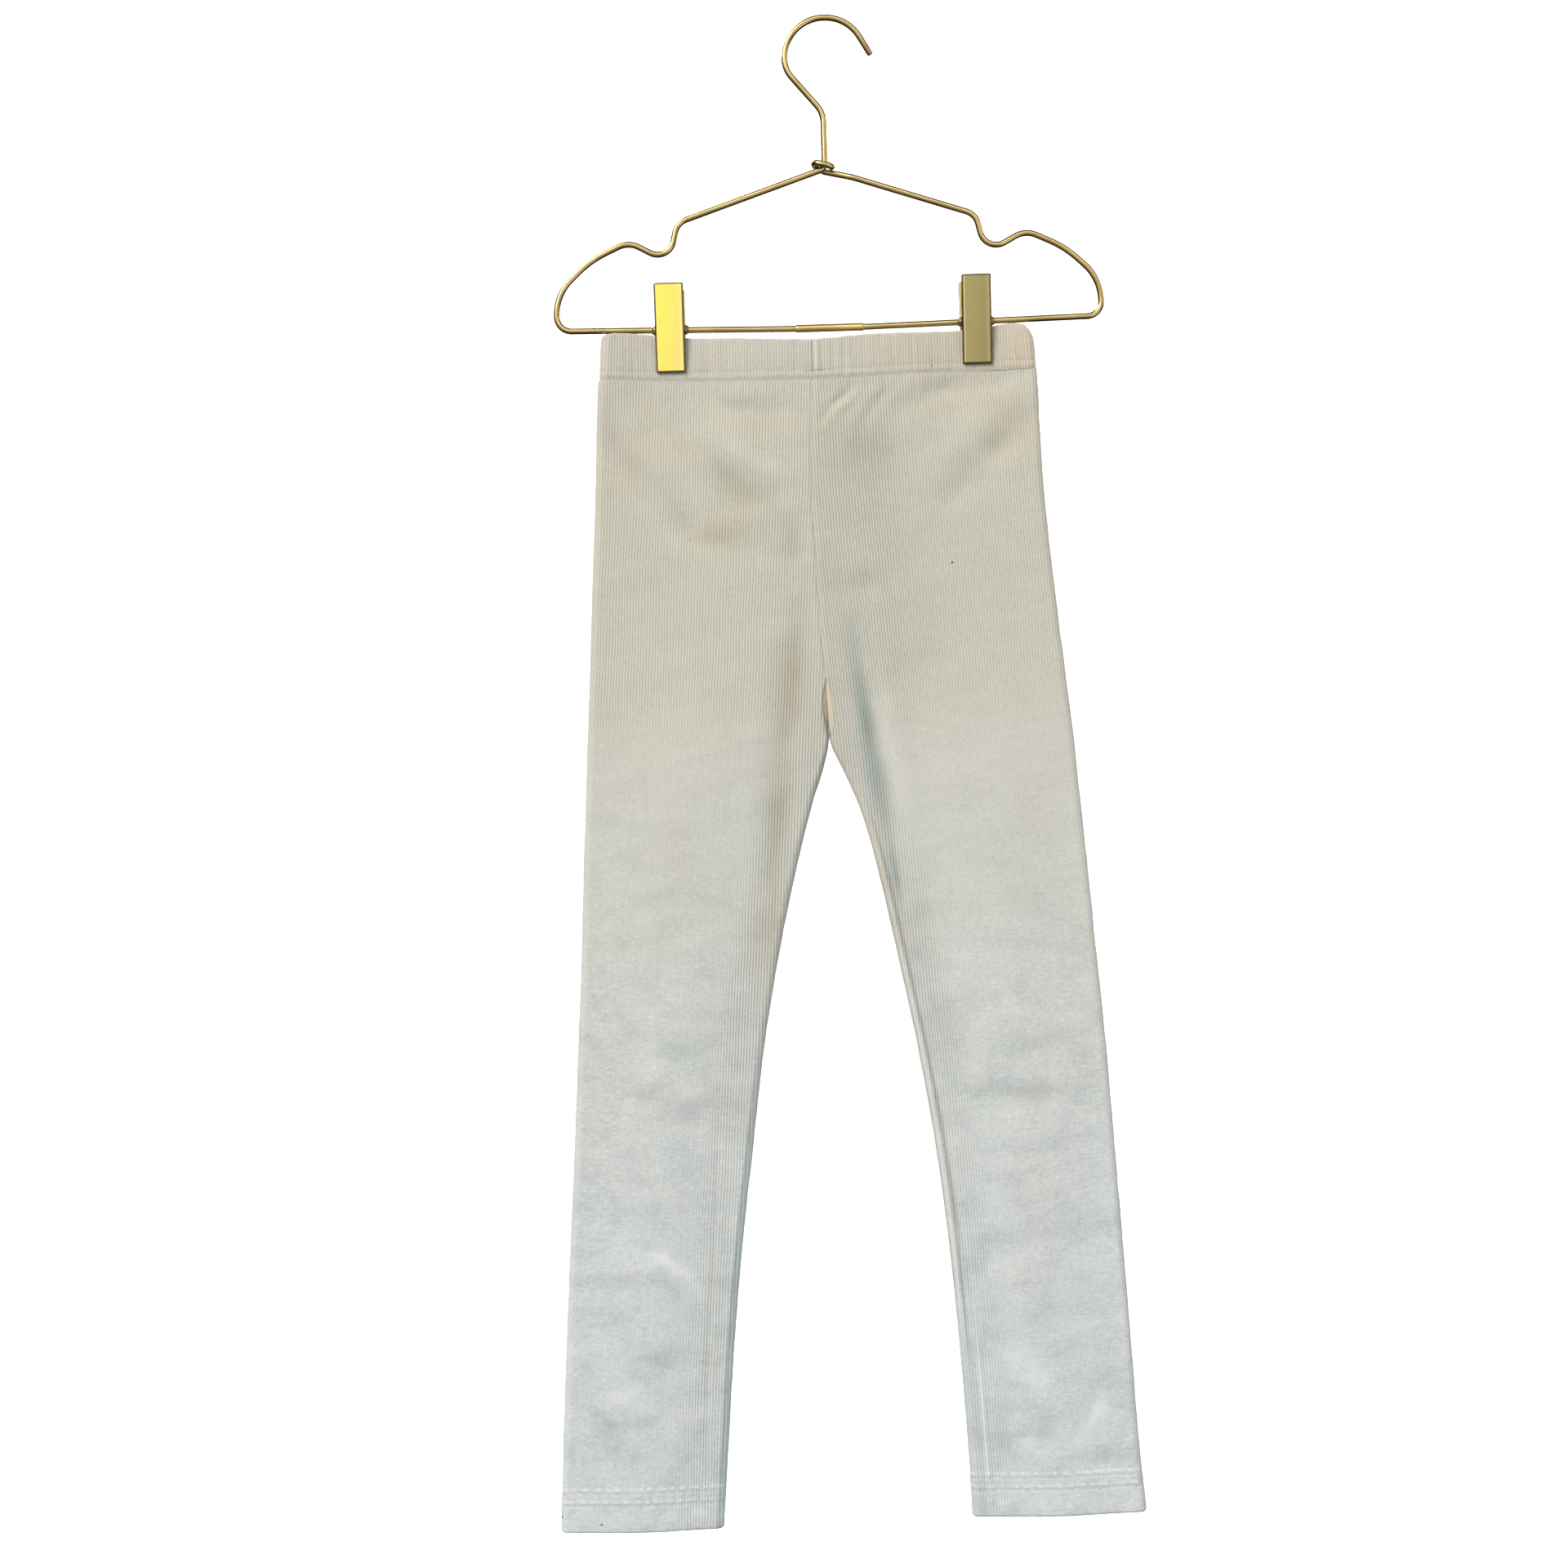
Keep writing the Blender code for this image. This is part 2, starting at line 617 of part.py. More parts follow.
def jaw_ears(facing, ear_outside):
    """Two lugs that carry the jaw on the bar, each a rounded plate that reaches into the jaw's plate."""
    lean = (JAW_TOP_CENTRE - JAW_BOTTOM_CENTRE) / PLATE_HEIGHT
    middle = (JAW_TOP_CENTRE + JAW_BOTTOM_CENTRE) / 2
    outline = [(-(middle - lean * EAR_RADIUS), -EAR_RADIUS)]
    for degrees in range(-90, 75, 18):
        angle = math.radians(degrees)
        outline.append((EAR_RADIUS * math.cos(angle), EAR_RADIUS * math.sin(angle)))
    outline.append((-(middle + lean * EAR_TOP), EAR_TOP))
    work = bmesh.new()
    for side in (-1, 1):
        inner = side * (ear_outside - EAR_THICKNESS)
        corners = [work.verts.new((inner * MM, -facing * y * MM, z * MM)) for y, z in outline]
        face = work.faces.new(corners)
        grown = bmesh.ops.extrude_face_region(work, geom=[face])
        moved = [item for item in grown["geom"] if isinstance(item, bmesh.types.BMVert)]
        bmesh.ops.translate(work, verts=moved, vec=(side * EAR_THICKNESS * MM, 0.0, 0.0))
    bmesh.ops.recalc_face_normals(work, faces=work.faces)
    return work


def bore():
    work = bmesh.new()
    bmesh.ops.create_cone(
        work, cap_ends=True, segments=BORE_SIDES, radius1=CLIP_BORE_RADIUS * MM,
        radius2=CLIP_BORE_RADIUS * MM, depth=BORE_LENGTH * MM,
    )
    along_bar = Matrix.Rotation(math.pi / 2, 3, "Y")
    bmesh.ops.rotate(work, cent=(0.0, 0.0, 0.0), matrix=along_bar, verts=work.verts)
    return work


def jaw_object(name, facing, ear_outside, centre, material):
    """One jaw: plate and lugs joined, with the bar's hole cut through the lugs."""
    mesh = bpy.data.meshes.new(name)
    work = jaw_plate(facing)
    work.to_mesh(mesh)
    work.free()
    jaw = place(name, mesh, material)
    origin = tuple(value * MM for value in centre)
    jaw.location = origin
    ears = helper(name + "_ears", jaw_ears(facing, ear_outside))
    hole = helper(name + "_bore", bore())
    for tool, operation in ((ears, "UNION"), (hole, "DIFFERENCE")):
        tool.location = origin
        cut = jaw.modifiers.new(operation.title(), "BOOLEAN")
        cut.operation = operation
        cut.object = tool
    return jaw


def bar_drop(x):
    """Level of the bar's centre at x, on the straight run from the sleeve to the end bend."""
    out = abs(x - HANGER_AXIS)
    high = SHOULDER_CORNERS[-3]
    low = SHOULDER_CORNERS[-2]
    return low[1] + (high[1] - low[1]) * (out - low[0]) / (high[0] - low[0])


def build():
    clear_scene()
    cotton = finish("rib_cotton", (0.60, 0.59, 0.55), 0.9, 0.0)
    casing_cotton = finish("casing_cotton", (0.59, 0.57, 0.52), 0.9, 0.0)
    wire_brass = finish("wire_brass", (0.62, 0.47, 0.19), 0.32, 1.0)
    sleeve_brass = finish("sleeve_brass", (0.60, 0.45, 0.18), 0.36, 1.0)
    plate_brass = finish("plate_brass", (0.68, 0.55, 0.22), 0.28, 1.0)
    spring_brass = finish("spring_brass", (0.45, 0.36, 0.17), 0.4, 1.0)

    wall_object("leg_left", panel_grids(-1, LEFT_HEM), cotton)
    wall_object("leg_right", panel_grids(1, RIGHT_HEM), cotton)
    wall_object("waistband", casing_grids(), casing_cotton)
    wire_object("hanger_wire_left", left_wire_route(), wire_brass)
    wire_object("hanger_wire_right", right_wire_route(), wire_brass)
    sleeve_object(sleeve_brass)
    front_ears = PLATE_WIDTH / 2
    back_ears = front_ears - EAR_THICKNESS - SEAM_GAP
    for side_name, x in CLIP_PLACES.items():
        centre = (x, 0.0, -bar_drop(x))
        jaw_object(f"clip_{side_name}_front", -1, front_ears, centre, plate_brass)
        jaw_object(f"clip_{side_name}_back", 1, back_ears, centre, plate_brass)
        spring_object(side_name, centre, spring_brass)


build()
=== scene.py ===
# %% [markdown]
# # Leggings on a clip hanger
# A child's leggings in off-white rib knit hang flat from a brass wire hanger. The cloth is three pieces:
# two leg panels, each wrapped round one leg, and an elastic casing at the waist.
# The rigid model is the frame. Every soft piece is made again here, on the same form, with its creases,
# seams and stitches, and the hanger is made again with rounder wire and softer edges.

# %% Load the frame
import math

import bpy
import numpy as np
from mathutils import Matrix, Vector


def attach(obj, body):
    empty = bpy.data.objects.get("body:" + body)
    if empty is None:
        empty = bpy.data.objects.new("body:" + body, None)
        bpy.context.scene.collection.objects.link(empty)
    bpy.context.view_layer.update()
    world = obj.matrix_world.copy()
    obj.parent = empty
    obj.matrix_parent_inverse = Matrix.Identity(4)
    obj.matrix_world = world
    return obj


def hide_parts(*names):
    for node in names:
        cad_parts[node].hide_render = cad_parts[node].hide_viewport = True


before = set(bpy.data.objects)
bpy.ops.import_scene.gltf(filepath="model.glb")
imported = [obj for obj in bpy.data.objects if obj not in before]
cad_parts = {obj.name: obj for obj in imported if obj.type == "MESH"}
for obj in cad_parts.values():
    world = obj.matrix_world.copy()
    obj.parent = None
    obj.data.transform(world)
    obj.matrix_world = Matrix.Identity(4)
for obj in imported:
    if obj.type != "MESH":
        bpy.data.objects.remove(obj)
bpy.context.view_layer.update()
MM = 0.001
print("nodes:", ", ".join(sorted(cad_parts)))

# %% [markdown]
# ## Camera and light
# The picture is taken straight on, a little over a metre away, with the whole picture turned by less
# than two degrees. Light comes softly from all round: warmer from above, cooler from below. A large lamp
# on each side would flatten the knit, so one soft, far window high on the left gives the creases their
# shade. Two weaker lamps light the right side, and a third one lights the back.

# %% Camera
TILT = math.radians(1.7)
DISTANCE = 1.15
FRAME_WIDTH = 0.9216
MIDDLE = (-0.0373, -0.4479)

camera_data = bpy.data.cameras.new("camera")
camera_data.angle = 2 * math.atan(FRAME_WIDTH / 2 / DISTANCE)
camera = bpy.data.objects.new("camera", camera_data)
camera.matrix_world = Matrix((
    (math.cos(TILT), math.sin(TILT), 0.0, MIDDLE[0]),
    (0.0, 0.0, -1.0, -DISTANCE),
    (-math.sin(TILT), math.cos(TILT), 0.0, MIDDLE[1]),
    (0.0, 0.0, 0.0, 1.0),
))
bpy.context.scene.collection.objects.link(camera)
bpy.context.scene.camera = camera
bpy.context.scene.view_settings.view_transform = "Standard"
print("lens angle:", round(math.degrees(camera_data.angle), 1))


# %% Lamps
def lamp(name, place, aim, size, power, colour):
    """A square soft lamp at place, turned to face aim."""
    data = bpy.data.lights.new(name, "AREA")
    data.size = size
    data.energy = power
    data.color = colour
    made = bpy.data.objects.new(name, data)
    made.location = place
    made.rotation_euler = (Vector(aim) - Vector(place)).to_track_quat("-Z", "Y").to_euler()
    bpy.context.scene.collection.objects.link(made)


# Square lamps: name, place, aim, size, power, colour.
LAMPS = (
    ("low_right", (1.2, -1.4, -1.1), (0.0, 0.0, -0.6), 1.0, 8.0, (0.88, 0.95, 1.0)),
    ("rim_right", (1.5, 0.2, 0.3), (0.0, 0.0, -0.2), 0.8, 7.0, (1.0, 0.97, 0.93)),
    ("back_left", (-0.6, 0.95, 0.75), (0.0, 0.0, -0.5), 0.6, 16.0, (1.0, 0.98, 0.95)),
)
window = bpy.data.lights.new("high_window", "SUN")
window.energy = 2.74
window.angle = math.radians(34.0)
window.color = (1.0, 0.985, 0.955)
window_light = bpy.data.objects.new("high_window", window)
window_light.rotation_euler = Vector((0.75, 1.0, -0.80)).to_track_quat("-Z", "Y").to_euler()
bpy.context.scene.collection.objects.link(window_light)
for settings in LAMPS:
    lamp(*settings)
print("lamps:", ", ".join(settings[0] for settings in LAMPS), "and", window.name)


# %% [markdown]
# ## A small language for materials
# Shader nodes are a sum written as boxes and wires. `Socket` wraps one output so that the sum can be
# written as a sum, and `Paint` adds any other node in one call: its kind, its settings, what goes in.

# %% Shader sums
class Socket:
    """One output of a shader node. An operator on it adds the Math node of that name."""

    def __init__(self, paint, link):
        self.paint = paint
        self.link = link

    def sum_of(self, operation, *values):
        return self.paint.node("ShaderNodeMath", {"operation": operation}, dict(enumerate(values)))

    def sine(self):
        return self.sum_of("SINE", self)

    def size(self):
        return self.sum_of("ABSOLUTE", self)

    def at_most(self, limit):
        return self.sum_of("MINIMUM", self, limit)

    def __add__(self, other):
        return self.sum_of("ADD", self, other)

    def __radd__(self, other):
        return self.sum_of("ADD", other, self)

    def __sub__(self, other):
        return self.sum_of("SUBTRACT", self, other)

    def __rsub__(self, other):
        return self.sum_of("SUBTRACT", other, self)

    def __mul__(self, other):
        return self.sum_of("MULTIPLY", self, other)

    def __rmul__(self, other):
        return self.sum_of("MULTIPLY", other, self)

    def __pow__(self, other):
        return self.sum_of("POWER", self, other)


class Paint:
    """A Principled material. Constant values are set on its own sockets when it is made."""

    def __init__(self, name, constants):
        self.material = bpy.data.materials.new(name)
        self.material.use_nodes = True
        self.tree = self.material.node_tree
        self.shader = self.tree.nodes["Principled BSDF"]
        for socket, value in constants.items():
            self.shader.inputs[socket].default_value = value

    def node(self, kind, settings=None, values=None, output=0):
        """Adds a node of a kind, applies its settings, then feeds its sockets."""
        made = self.tree.nodes.new(kind)
        for key, value in (settings or {}).items():
            setattr(made, key, value)
        for key, value in (values or {}).items():
            self.feed(made.inputs[key], value)
        return Socket(self, made.outputs[output])

    def feed(self, socket, value):
        if isinstance(value, Socket):
            self.tree.links.new(value.link, socket)
        elif isinstance(value, tuple) and socket.type == "RGBA":
            socket.default_value = (*value, 1.0)
        else:
            socket.default_value = value

    def mix(self, factor, low, high):
        """The colour low where factor is 0 and high where it is 1."""
        return self.node("ShaderNodeMix", {"data_type": "RGBA"}, {0: factor, 6: low, 7: high}, 2)

    def tint(self, amount, colour, by):
        """A colour multiplied by another as far as amount says."""
        settings = {"data_type": "RGBA", "blend_type": "MULTIPLY"}
        return self.node("ShaderNodeMix", settings, {0: amount, 6: colour, 7: by}, 2)

    def noise(self, vector, scale, detail=2.0):
        values = {"Vector": vector, "Scale": scale, "Detail": detail}
        return self.node("ShaderNodeTexNoise", {}, values)

    def between(self, value, low, high):
        """0 below low, 1 above high and a soft S between them."""
        settings = {"interpolation_type": "SMOOTHSTEP"}
        return self.node("ShaderNodeMapRange", settings, {0: value, 1: low, 2: high})

    def stretched(self, vector, factors):
        return self.node("ShaderNodeVectorMath", {"operation": "MULTIPLY"}, {0: vector, 1: factors})

    def axis(self, vector, index):
        return self.node("ShaderNodeSeparateXYZ", {}, {0: vector}, index)

    def painted(self, name):
        """An amount painted on the points of the mesh."""
        return self.node("ShaderNodeAttribute", {"attribute_name": name}, {}, 2)

    def place(self):
        return self.node("ShaderNodeTexCoord", {}, {}, 3)

    def done(self, colour, roughness, height, depth):
        """Joins colour, roughness and a height in units of depth metres to the shader."""
        bump = self.node("ShaderNodeBump", {}, {"Height": height, "Distance": depth})
        self.feed(self.shader.inputs["Base Color"], colour)
        self.feed(self.shader.inputs["Roughness"], roughness)
        self.feed(self.shader.inputs["Normal"], bump)
        return self.material


# %% [markdown]
# ## The knit
# The cloth is a fine one-and-one rib: upright ribs 1.7 mm apart with narrow grooves between them, and
# small loops up each rib. Real ribs would need millions of faces, so they are bump and a faint painted
# shade in the grooves. They are drawn in the flat cloth's own millimetres, kept in the UV map `pattern`, so
# they run down each leg beside its outer edge and bend with the creases.

# %% Knit sizes
RIB_PITCH = 1.7
LOOP_PITCH = 1.25
FRONT_FORK = 386.0
CROTCH = 422.0
LENS_X = -10.6
LENS_LEAN = 1.8
LENS_HALF_WIDTH = 3.6
# Dark specks: x, height, radius.
SPECKS = (
    (64.9, -321.3, 1.3), (56.3, -205.3, 0.9), (-88.2, -303.3, 0.7), (-180.1, -873.6, 1.3),
    (-156.7, -877.6, 1.15), (-56.3, -294.0, 0.6), (-92.0, -707.5, 0.6),
)
print("ribs:", RIB_PITCH, "mm, specks:", len(SPECKS))


# %% Details on the knit
def painted_lens(paint, colour, x, z, in_front):
    """The narrow lens of slanting ribs between the fork and the crotch, painted as the warm shade in the
    fold there, darker along its left edge and towards its lower tip.

    Its half width is a half sine of the way down, so it closes to a point at both ends.
    """
    down = -1.0 * z - FRONT_FORK
    share = down * (1.0 / (CROTCH - FRONT_FORK))
    aside = x - share * LENS_LEAN - LENS_X
    room = (share * math.pi).sine() * LENS_HALF_WIDTH - aside.size()
    level = paint.between(down, 37.0, 34.5) * paint.between(down, 0.0, 2.0) * in_front
    slant = ((x * 0.9 - z * 0.6) * (2 * math.pi / RIB_PITCH)).sine()
    # Painted shade of the fold: warm and darker than the cloth, darker again towards the lower tip.
    inside = paint.mix(paint.between(slant, -0.2, 0.9) * 0.6, (0.69, 0.62, 0.47), (0.50, 0.43, 0.31))
    inside = paint.tint(paint.between(down, 29.0, 36.0), inside, (0.55, 0.50, 0.42))
    colour = paint.mix(paint.between(room, 0.0, 1.1) * level * 0.9, colour, inside)
    # Painted shade along the lens's edge, strongest on its left.
    left_side = paint.between(aside, 0.6, -0.6) * 0.75 + 0.2
    line = paint.between((room - 0.1).size(), 0.8, 0.1) * level * left_side
    return paint.tint(line, colour, (0.50, 0.47, 0.42))


def painted_join_light_and_shade(paint, colour, x, z, in_front):
    """The join of the elastic: painted shade in two dark upright creases, a painted highlight on the ridge
    between them and painted shade along a dark foot.
    """
    high = paint.between(z, -207.5, -206.0) * paint.between(z, -188.0, -190.0) * in_front
    # Painted shade in the two creases of the join.
    for at, wide, dark in ((-13.5, 0.7, 0.60), (-8.6, 0.6, 0.80)):
        line = paint.between((x - at).size(), wide, wide * 0.3) * high
        colour = paint.tint(line * 0.8, colour, (dark, dark * 0.98, dark * 0.94))
    # Painted highlight on the ridge between them.
    ridge = paint.between((x + 11.4).size(), 1.6, 0.6) * high
    colour = paint.mix(ridge * 0.3, colour, (0.85, 0.82, 0.76))
    # Painted shade along the foot of the join.
    foot = paint.between((z + 206.4).size(), 0.8, 0.2) * in_front
    foot = foot * paint.between((x + 10.0).size(), 4.4, 3.8)
    return paint.tint(foot * 0.8, colour, (0.62, 0.60, 0.56))


def painted_specks(paint, colour, x, z, fuzz, in_front):
    """Small dark specks: round, with an edge that the fuzz makes uneven."""
    for speck_x, speck_z, radius in SPECKS:
        from_x, from_z = x - speck_x, z - speck_z
        away = (from_x * from_x + from_z * from_z) ** 0.5 + fuzz * 0.4
        mask = paint.between(away, radius, radius * 0.5) * in_front
        colour = paint.mix(mask * 0.85, colour, (0.12, 0.09, 0.06))
    return colour


# %% Knit material
def knit(name, first, second, way, start, end, rib_depth, detail):
    """Rib knit whose colour goes from first to second along the axis way, between start and end. On the
    legs that is painted light, warm above and cool below; on the casing it grows warmer towards the right.

    Height is |sin| of the distance across the ribs, which gives round ribs and sharp grooves, plus
    a smaller sine up each rib for its loops, plus fuzz and short crosswise wrinkles. Three painted
    amounts steer it: tone for shade, hue for cool or warm light, and ribs for how far they show.
    detail is the function that paints what only this piece has.
    """
    paint = Paint(name, {"Sheen Weight": 0.18, "Sheen Roughness": 0.55, "Specular IOR Level": 0.22})
    flat = paint.node("ShaderNodeUVMap", {"uv_map": "pattern"})
    across = paint.axis(flat, 0)
    along = paint.axis(flat, 1)
    place = paint.place()
    x, y, z = (paint.axis(place, number) * (1.0 / MM) for number in range(3))
    in_front = paint.between(y, 0.0, -1.0)
    tone = paint.painted("tone")
    hue = paint.painted("hue")
    shown = paint.painted("ribs")
    sway = paint.noise(place, 26.0) * 1.6
    wave = ((across + sway) * (math.pi / RIB_PITCH)).sine()
    rib = wave.size()
    loop = (along * (2 * math.pi / LOOP_PITCH) + wave * 2.0).sine()
    fuzz = paint.noise(place, 2400.0, 3.0)
    pile = paint.noise(place, 620.0, 2.0)
    courses = paint.noise(paint.stretched(place, (300.0, 300.0, 820.0)), 1.0, 3.0)
    wrinkle = paint.noise(paint.stretched(place, (24.0, 24.0, 150.0)), 1.0, 4.0)
    patch = paint.noise(place, 13.0, 3.0)
    mottle = paint.noise(paint.stretched(place, (48.0, 48.0, 74.0)), 1.0, 4.0)

    # Painted light on the legs: the base colour goes from first to second, warm above and cool below.
    colour = paint.mix(paint.between(paint.axis(place, way), start, end), first, second)
    colour = paint.tint(paint.between(patch, 0.52, 0.75) * 0.6, colour, (0.965, 0.940, 0.92))
    colour = paint.tint(paint.between(patch, 0.46, 0.25) * 0.6, colour, (0.94, 0.975, 0.980))
    low = paint.between(z, -400.0, -640.0)
    dull = paint.between(mottle, 0.48, 0.68) * (low * 0.8 + 0.2)
    colour = paint.tint(dull, colour, (0.915, 0.92, 0.925))
    pale = paint.between(mottle, 0.46, 0.28) * (low * 0.26 + 0.06)
    colour = paint.mix(pale, colour, (0.78, 0.78, 0.76))
    # Painted shade in the grooves between the ribs, as far as the ribs show.
    groove = (1.0 - rib) ** 1.6
    colour = paint.tint(groove * (shown * 0.85 + 0.15), colour, (0.76, 0.745, 0.71))
    lying = (1.0 - shown * 0.6) * (low * 0.7 + 0.3)
    colour = paint.tint(paint.between(courses, 0.50, 0.68) * lying, colour, (0.90, 0.90, 0.89))
    colour = paint.mix(paint.between(courses, 0.46, 0.30) * 0.3 * lying, colour, (0.86, 0.87, 0.86))
    colour = paint.tint(paint.between(fuzz, 0.35, 0.75), colour, (0.93, 0.928, 0.92))
    colour = paint.tint(paint.between(pile, 0.40, 0.70), colour, (0.94, 0.937, 0.93))
    # Painted shade where tone is above 0 and painted light below 0, then painted warm or cool light from
    # hue.
    colour = paint.tint(paint.between(tone, 0.0, 1.0), colour, (0.72, 0.705, 0.675))
    colour = paint.mix(paint.between(tone, 0.0, -1.0) * 0.6, colour, (0.84, 0.86, 0.86))
    colour = paint.tint(paint.between(hue, 0.0, 1.0), colour, (0.99, 0.91, 0.78))
    colour = paint.tint(paint.between(hue, 0.0, -1.0), colour, (0.86, 0.95, 1.0))
    colour = detail(paint, colour, x, z, in_front)
    colour = painted_specks(paint, colour, x, z, fuzz, in_front)

    height = rib * (shown * 0.7 + 0.3) * rib_depth + loop * 0.018 + courses * 0.10
    height = height + fuzz * 0.08 + pile * 0.08 + wrinkle * 0.24
    return paint.done(colour, 0.82 + fuzz * 0.14, height, MM)


# The legs' two colours are painted light: warm at the top, cool towards the hems.
LEG_KNIT = knit(
    "rib_knit", (0.650, 0.622, 0.535), (0.638, 0.676, 0.692), 2, -0.24, -0.80, 0.30, painted_lens
)
CASING_KNIT = knit(
    "casing_knit", (0.665, 0.635, 0.558), (0.685, 0.610, 0.490), 0, -0.03, 0.11, 0.22, painted_join_light_and_shade
)
print("knit materials:", LEG_KNIT.name, CASING_KNIT.name)

# %% [markdown]
# ## The cloth's form
# The tables give the outline from the front in millimetres, at each drop below the hook. The formulas
# are those of the rigid model, so that the soft pieces lie on it. Only the hems end about 2 mm higher.

# %% Cloth tables
CLOTH_WALL = 1.5
SHEET_WALL = 1.0
CASING_WALL = 2.5
HEM_EXTRA = 1.0
HEM_DEPTH = 24.0
WAIST_LEVEL = 208.0
LEFT_HEM = 882.8
RIGHT_HEM = 880.4
PINCHED_DEPTH = 1.4
WAIST_OPENING = 3.2
EDGE_DEPTH = 3.7
EDGE_REACH = 4.0
HIP_CROWN = 3.7
LEG_CROWN = 3.0
PINCH_MARGIN = 1.0
PINCH_FADE = 24.0
WAIST_FADE = (205.0, 268.0)
LEGS_FORM = (345.0, 450.0)
QUARTER_POINTS = 13
EDGE_POINTS = 33
FLAT_POINTS = 120
BEND_SPREAD = 8.0
CLIP_PLACES = {"left": -96.2, "right": 83.4}
PLATE_WIDTH = 17.2

OUTER_EDGES = {
    "drop": (181, 208, 242, 276, 324, 352, 386, 422, 460, 500, 545, 600, 660, 720, 780, 840, 886),
    "left": (
        -136.4, -139.4, -141.5, -143.2, -146.2, -147.9, -149.8, -152.2, -154.4,
        -156.9, -159.2, -162.9, -166.8, -171.2, -175.3, -178.9, -181.0,
    ),
    "right": (
        116.0, 118.4, 119.2, 120.4, 124.0, 126.6, 129.9, 133.5, 136.4,
        139.6, 142.8, 147.0, 150.4, 153.7, 156.9, 159.9, 163.2,
    ),
}
CENTRE_SEAM = {
    "drop": (181, 208, 242, 276, 324, 352, 386, 422),
    "x": (-11.5, -13.6, -15.3, -16.2, -14.9, -13.8, -11.6, -9.8),
}
INNER_EDGES = {
    "drop": (422, 428, 436, 460, 500, 545, 600, 660, 720, 780, 840, 886),
    "left": (-9.8, -10.8, -12.8, -20.8, -31.9, -42.4, -53.0, -61.5, -69.8, -76.4, -81.6, -85.6),
    "right": (-9.8, -8.2, -4.7, 5.6, 16.3, 25.4, 35.8, 45.0, 51.5, 55.9, 59.2, 60.9),
}
CASING_TOP = {
    "x": (
        -139.2, -137.4, -134, -112, -104, -89, -58, -34, -15, 18,
        55, 72, 83, 92.5, 100, 107, 111, 114, 116.4, 118,
    ),
    "drop": (
        183.4, 182.0, 181.4, 181.8, 182.9, 184.4, 186.0, 187.2, 187.9, 186.0, 185.4, 185.0,
        184.0, 182.9, 181.8, 181.6, 182.4, 184.2, 187.6, 191.5,
    ),
}
WAIST_SEAM = {
    "x": (-140, -107, -78, -18, 18, 42, 75, 119),
    "drop": (207.8, 209.2, 210.4, 211.5, 210.9, 209.8, 209.2, 208.5),
}
FRONT_TURN = {
    "drop": (386, 392, 400, 408, 415, 422, 432, 450),
    "left": (0.0, 1.6, 3.6, 4.9, 3.8, 1.8, 2.4, 4.0),
    "right": (0.0, 0.9, 1.7, 1.6, 1.4, 1.2, 2.4, 4.0),
    "back": (-1.0, -0.85, -0.62, -0.40, -0.05, 0.5, 0.4, 0.0),
}
BACK_TURN = {
    "drop": (408, 415, 422, 432, 450),
    "reach": (0.0, 0.8, 1.6, 2.4, 4.0),
    "back": (1.0, 0.85, 0.6, 0.4, 0.0),
}
print("legs from waist to hem:", round(LEFT_HEM - WAIST_LEVEL, 1), round(RIGHT_HEM - WAIST_LEVEL, 1), "mm")


# %% Curves through tables
def smooth(table_at, table_value, at):
    """A smooth curve through a table: cubic pieces with slopes taken from the neighbouring points."""
    known = np.asarray(table_at, dtype=float)
    value = np.asarray(table_value, dtype=float)
    slope = np.gradient(value, known)
    at = np.clip(at, known[0], known[-1])
    left = np.clip(np.searchsorted(known, at) - 1, 0, len(known) - 2)
    span = known[left + 1] - known[left]
    t = (at - known[left]) / span
    rise = value[left + 1] - value[left]
    start = slope[left] * span
    end = slope[left + 1] * span
    return value[left] + t * (start + t * (3 * rise - 2 * start - end + t * (start + end - 2 * rise)))


def ease(at, start, end):
    """0 before start, 1 after end and a soft S between them."""
    t = np.clip((at - start) / (end - start), 0.0, 1.0)
    return t * t * (3.0 - 2.0 * t)


def bell(at, width):
    """1 at zero, falling off softly on both sides within about twice the width."""
    return np.exp(-((at / width) ** 2))


def waves(seed, coordinates, lengths, count=9):
    """Smooth unevenness from -1 to 1: a mean of sines whose wave lengths vary about the given ones."""
    draw = np.random.default_rng(seed)
    total = 0.0
    for _ in range(count):
        phase = draw.uniform(0, 2 * math.pi)
        for at, length in zip(coordinates, lengths):
            turns = draw.uniform(0.55, 1.45) * draw.choice((-1, 1))
            phase = phase + at * (2 * math.pi * turns / length)
        total = total + np.sin(phase)
    return total / count * 1.8


def waist_half_depth(x):
    """Half the casing's depth: pinched flat under each clip's plate, open elsewhere."""
    open_share = 1.0
    for place in CLIP_PLACES.values():
        beside = np.maximum(np.abs(x - place) - PLATE_WIDTH / 2 - PINCH_MARGIN, 0.0)
        open_share = open_share * (1.0 - bell(beside, PINCH_FADE))
    return PINCHED_DEPTH + WAIST_OPENING * open_share


def half_depth(x, drop, seam, outer):
    """Half the cloth's depth: a crown across both hips that becomes one crown on each leg."""
    across = np.clip((x - seam) / (outer - seam), 0.0, 1.0)
    on_leg = ease(drop, *LEGS_FORM)
    hip = HIP_CROWN * np.cos(across * math.pi / 2) ** 2
    leg = LEG_CROWN * np.sin(across * math.pi) ** 2
    body = EDGE_DEPTH + (1.0 - on_leg) * hip + on_leg * leg
    below_waist = ease(drop, *WAIST_FADE)
    return waist_half_depth(x) * (1.0 - below_waist) + body * below_waist


def seam_level(x):
    return smooth(WAIST_SEAM["x"], WAIST_SEAM["drop"], x)


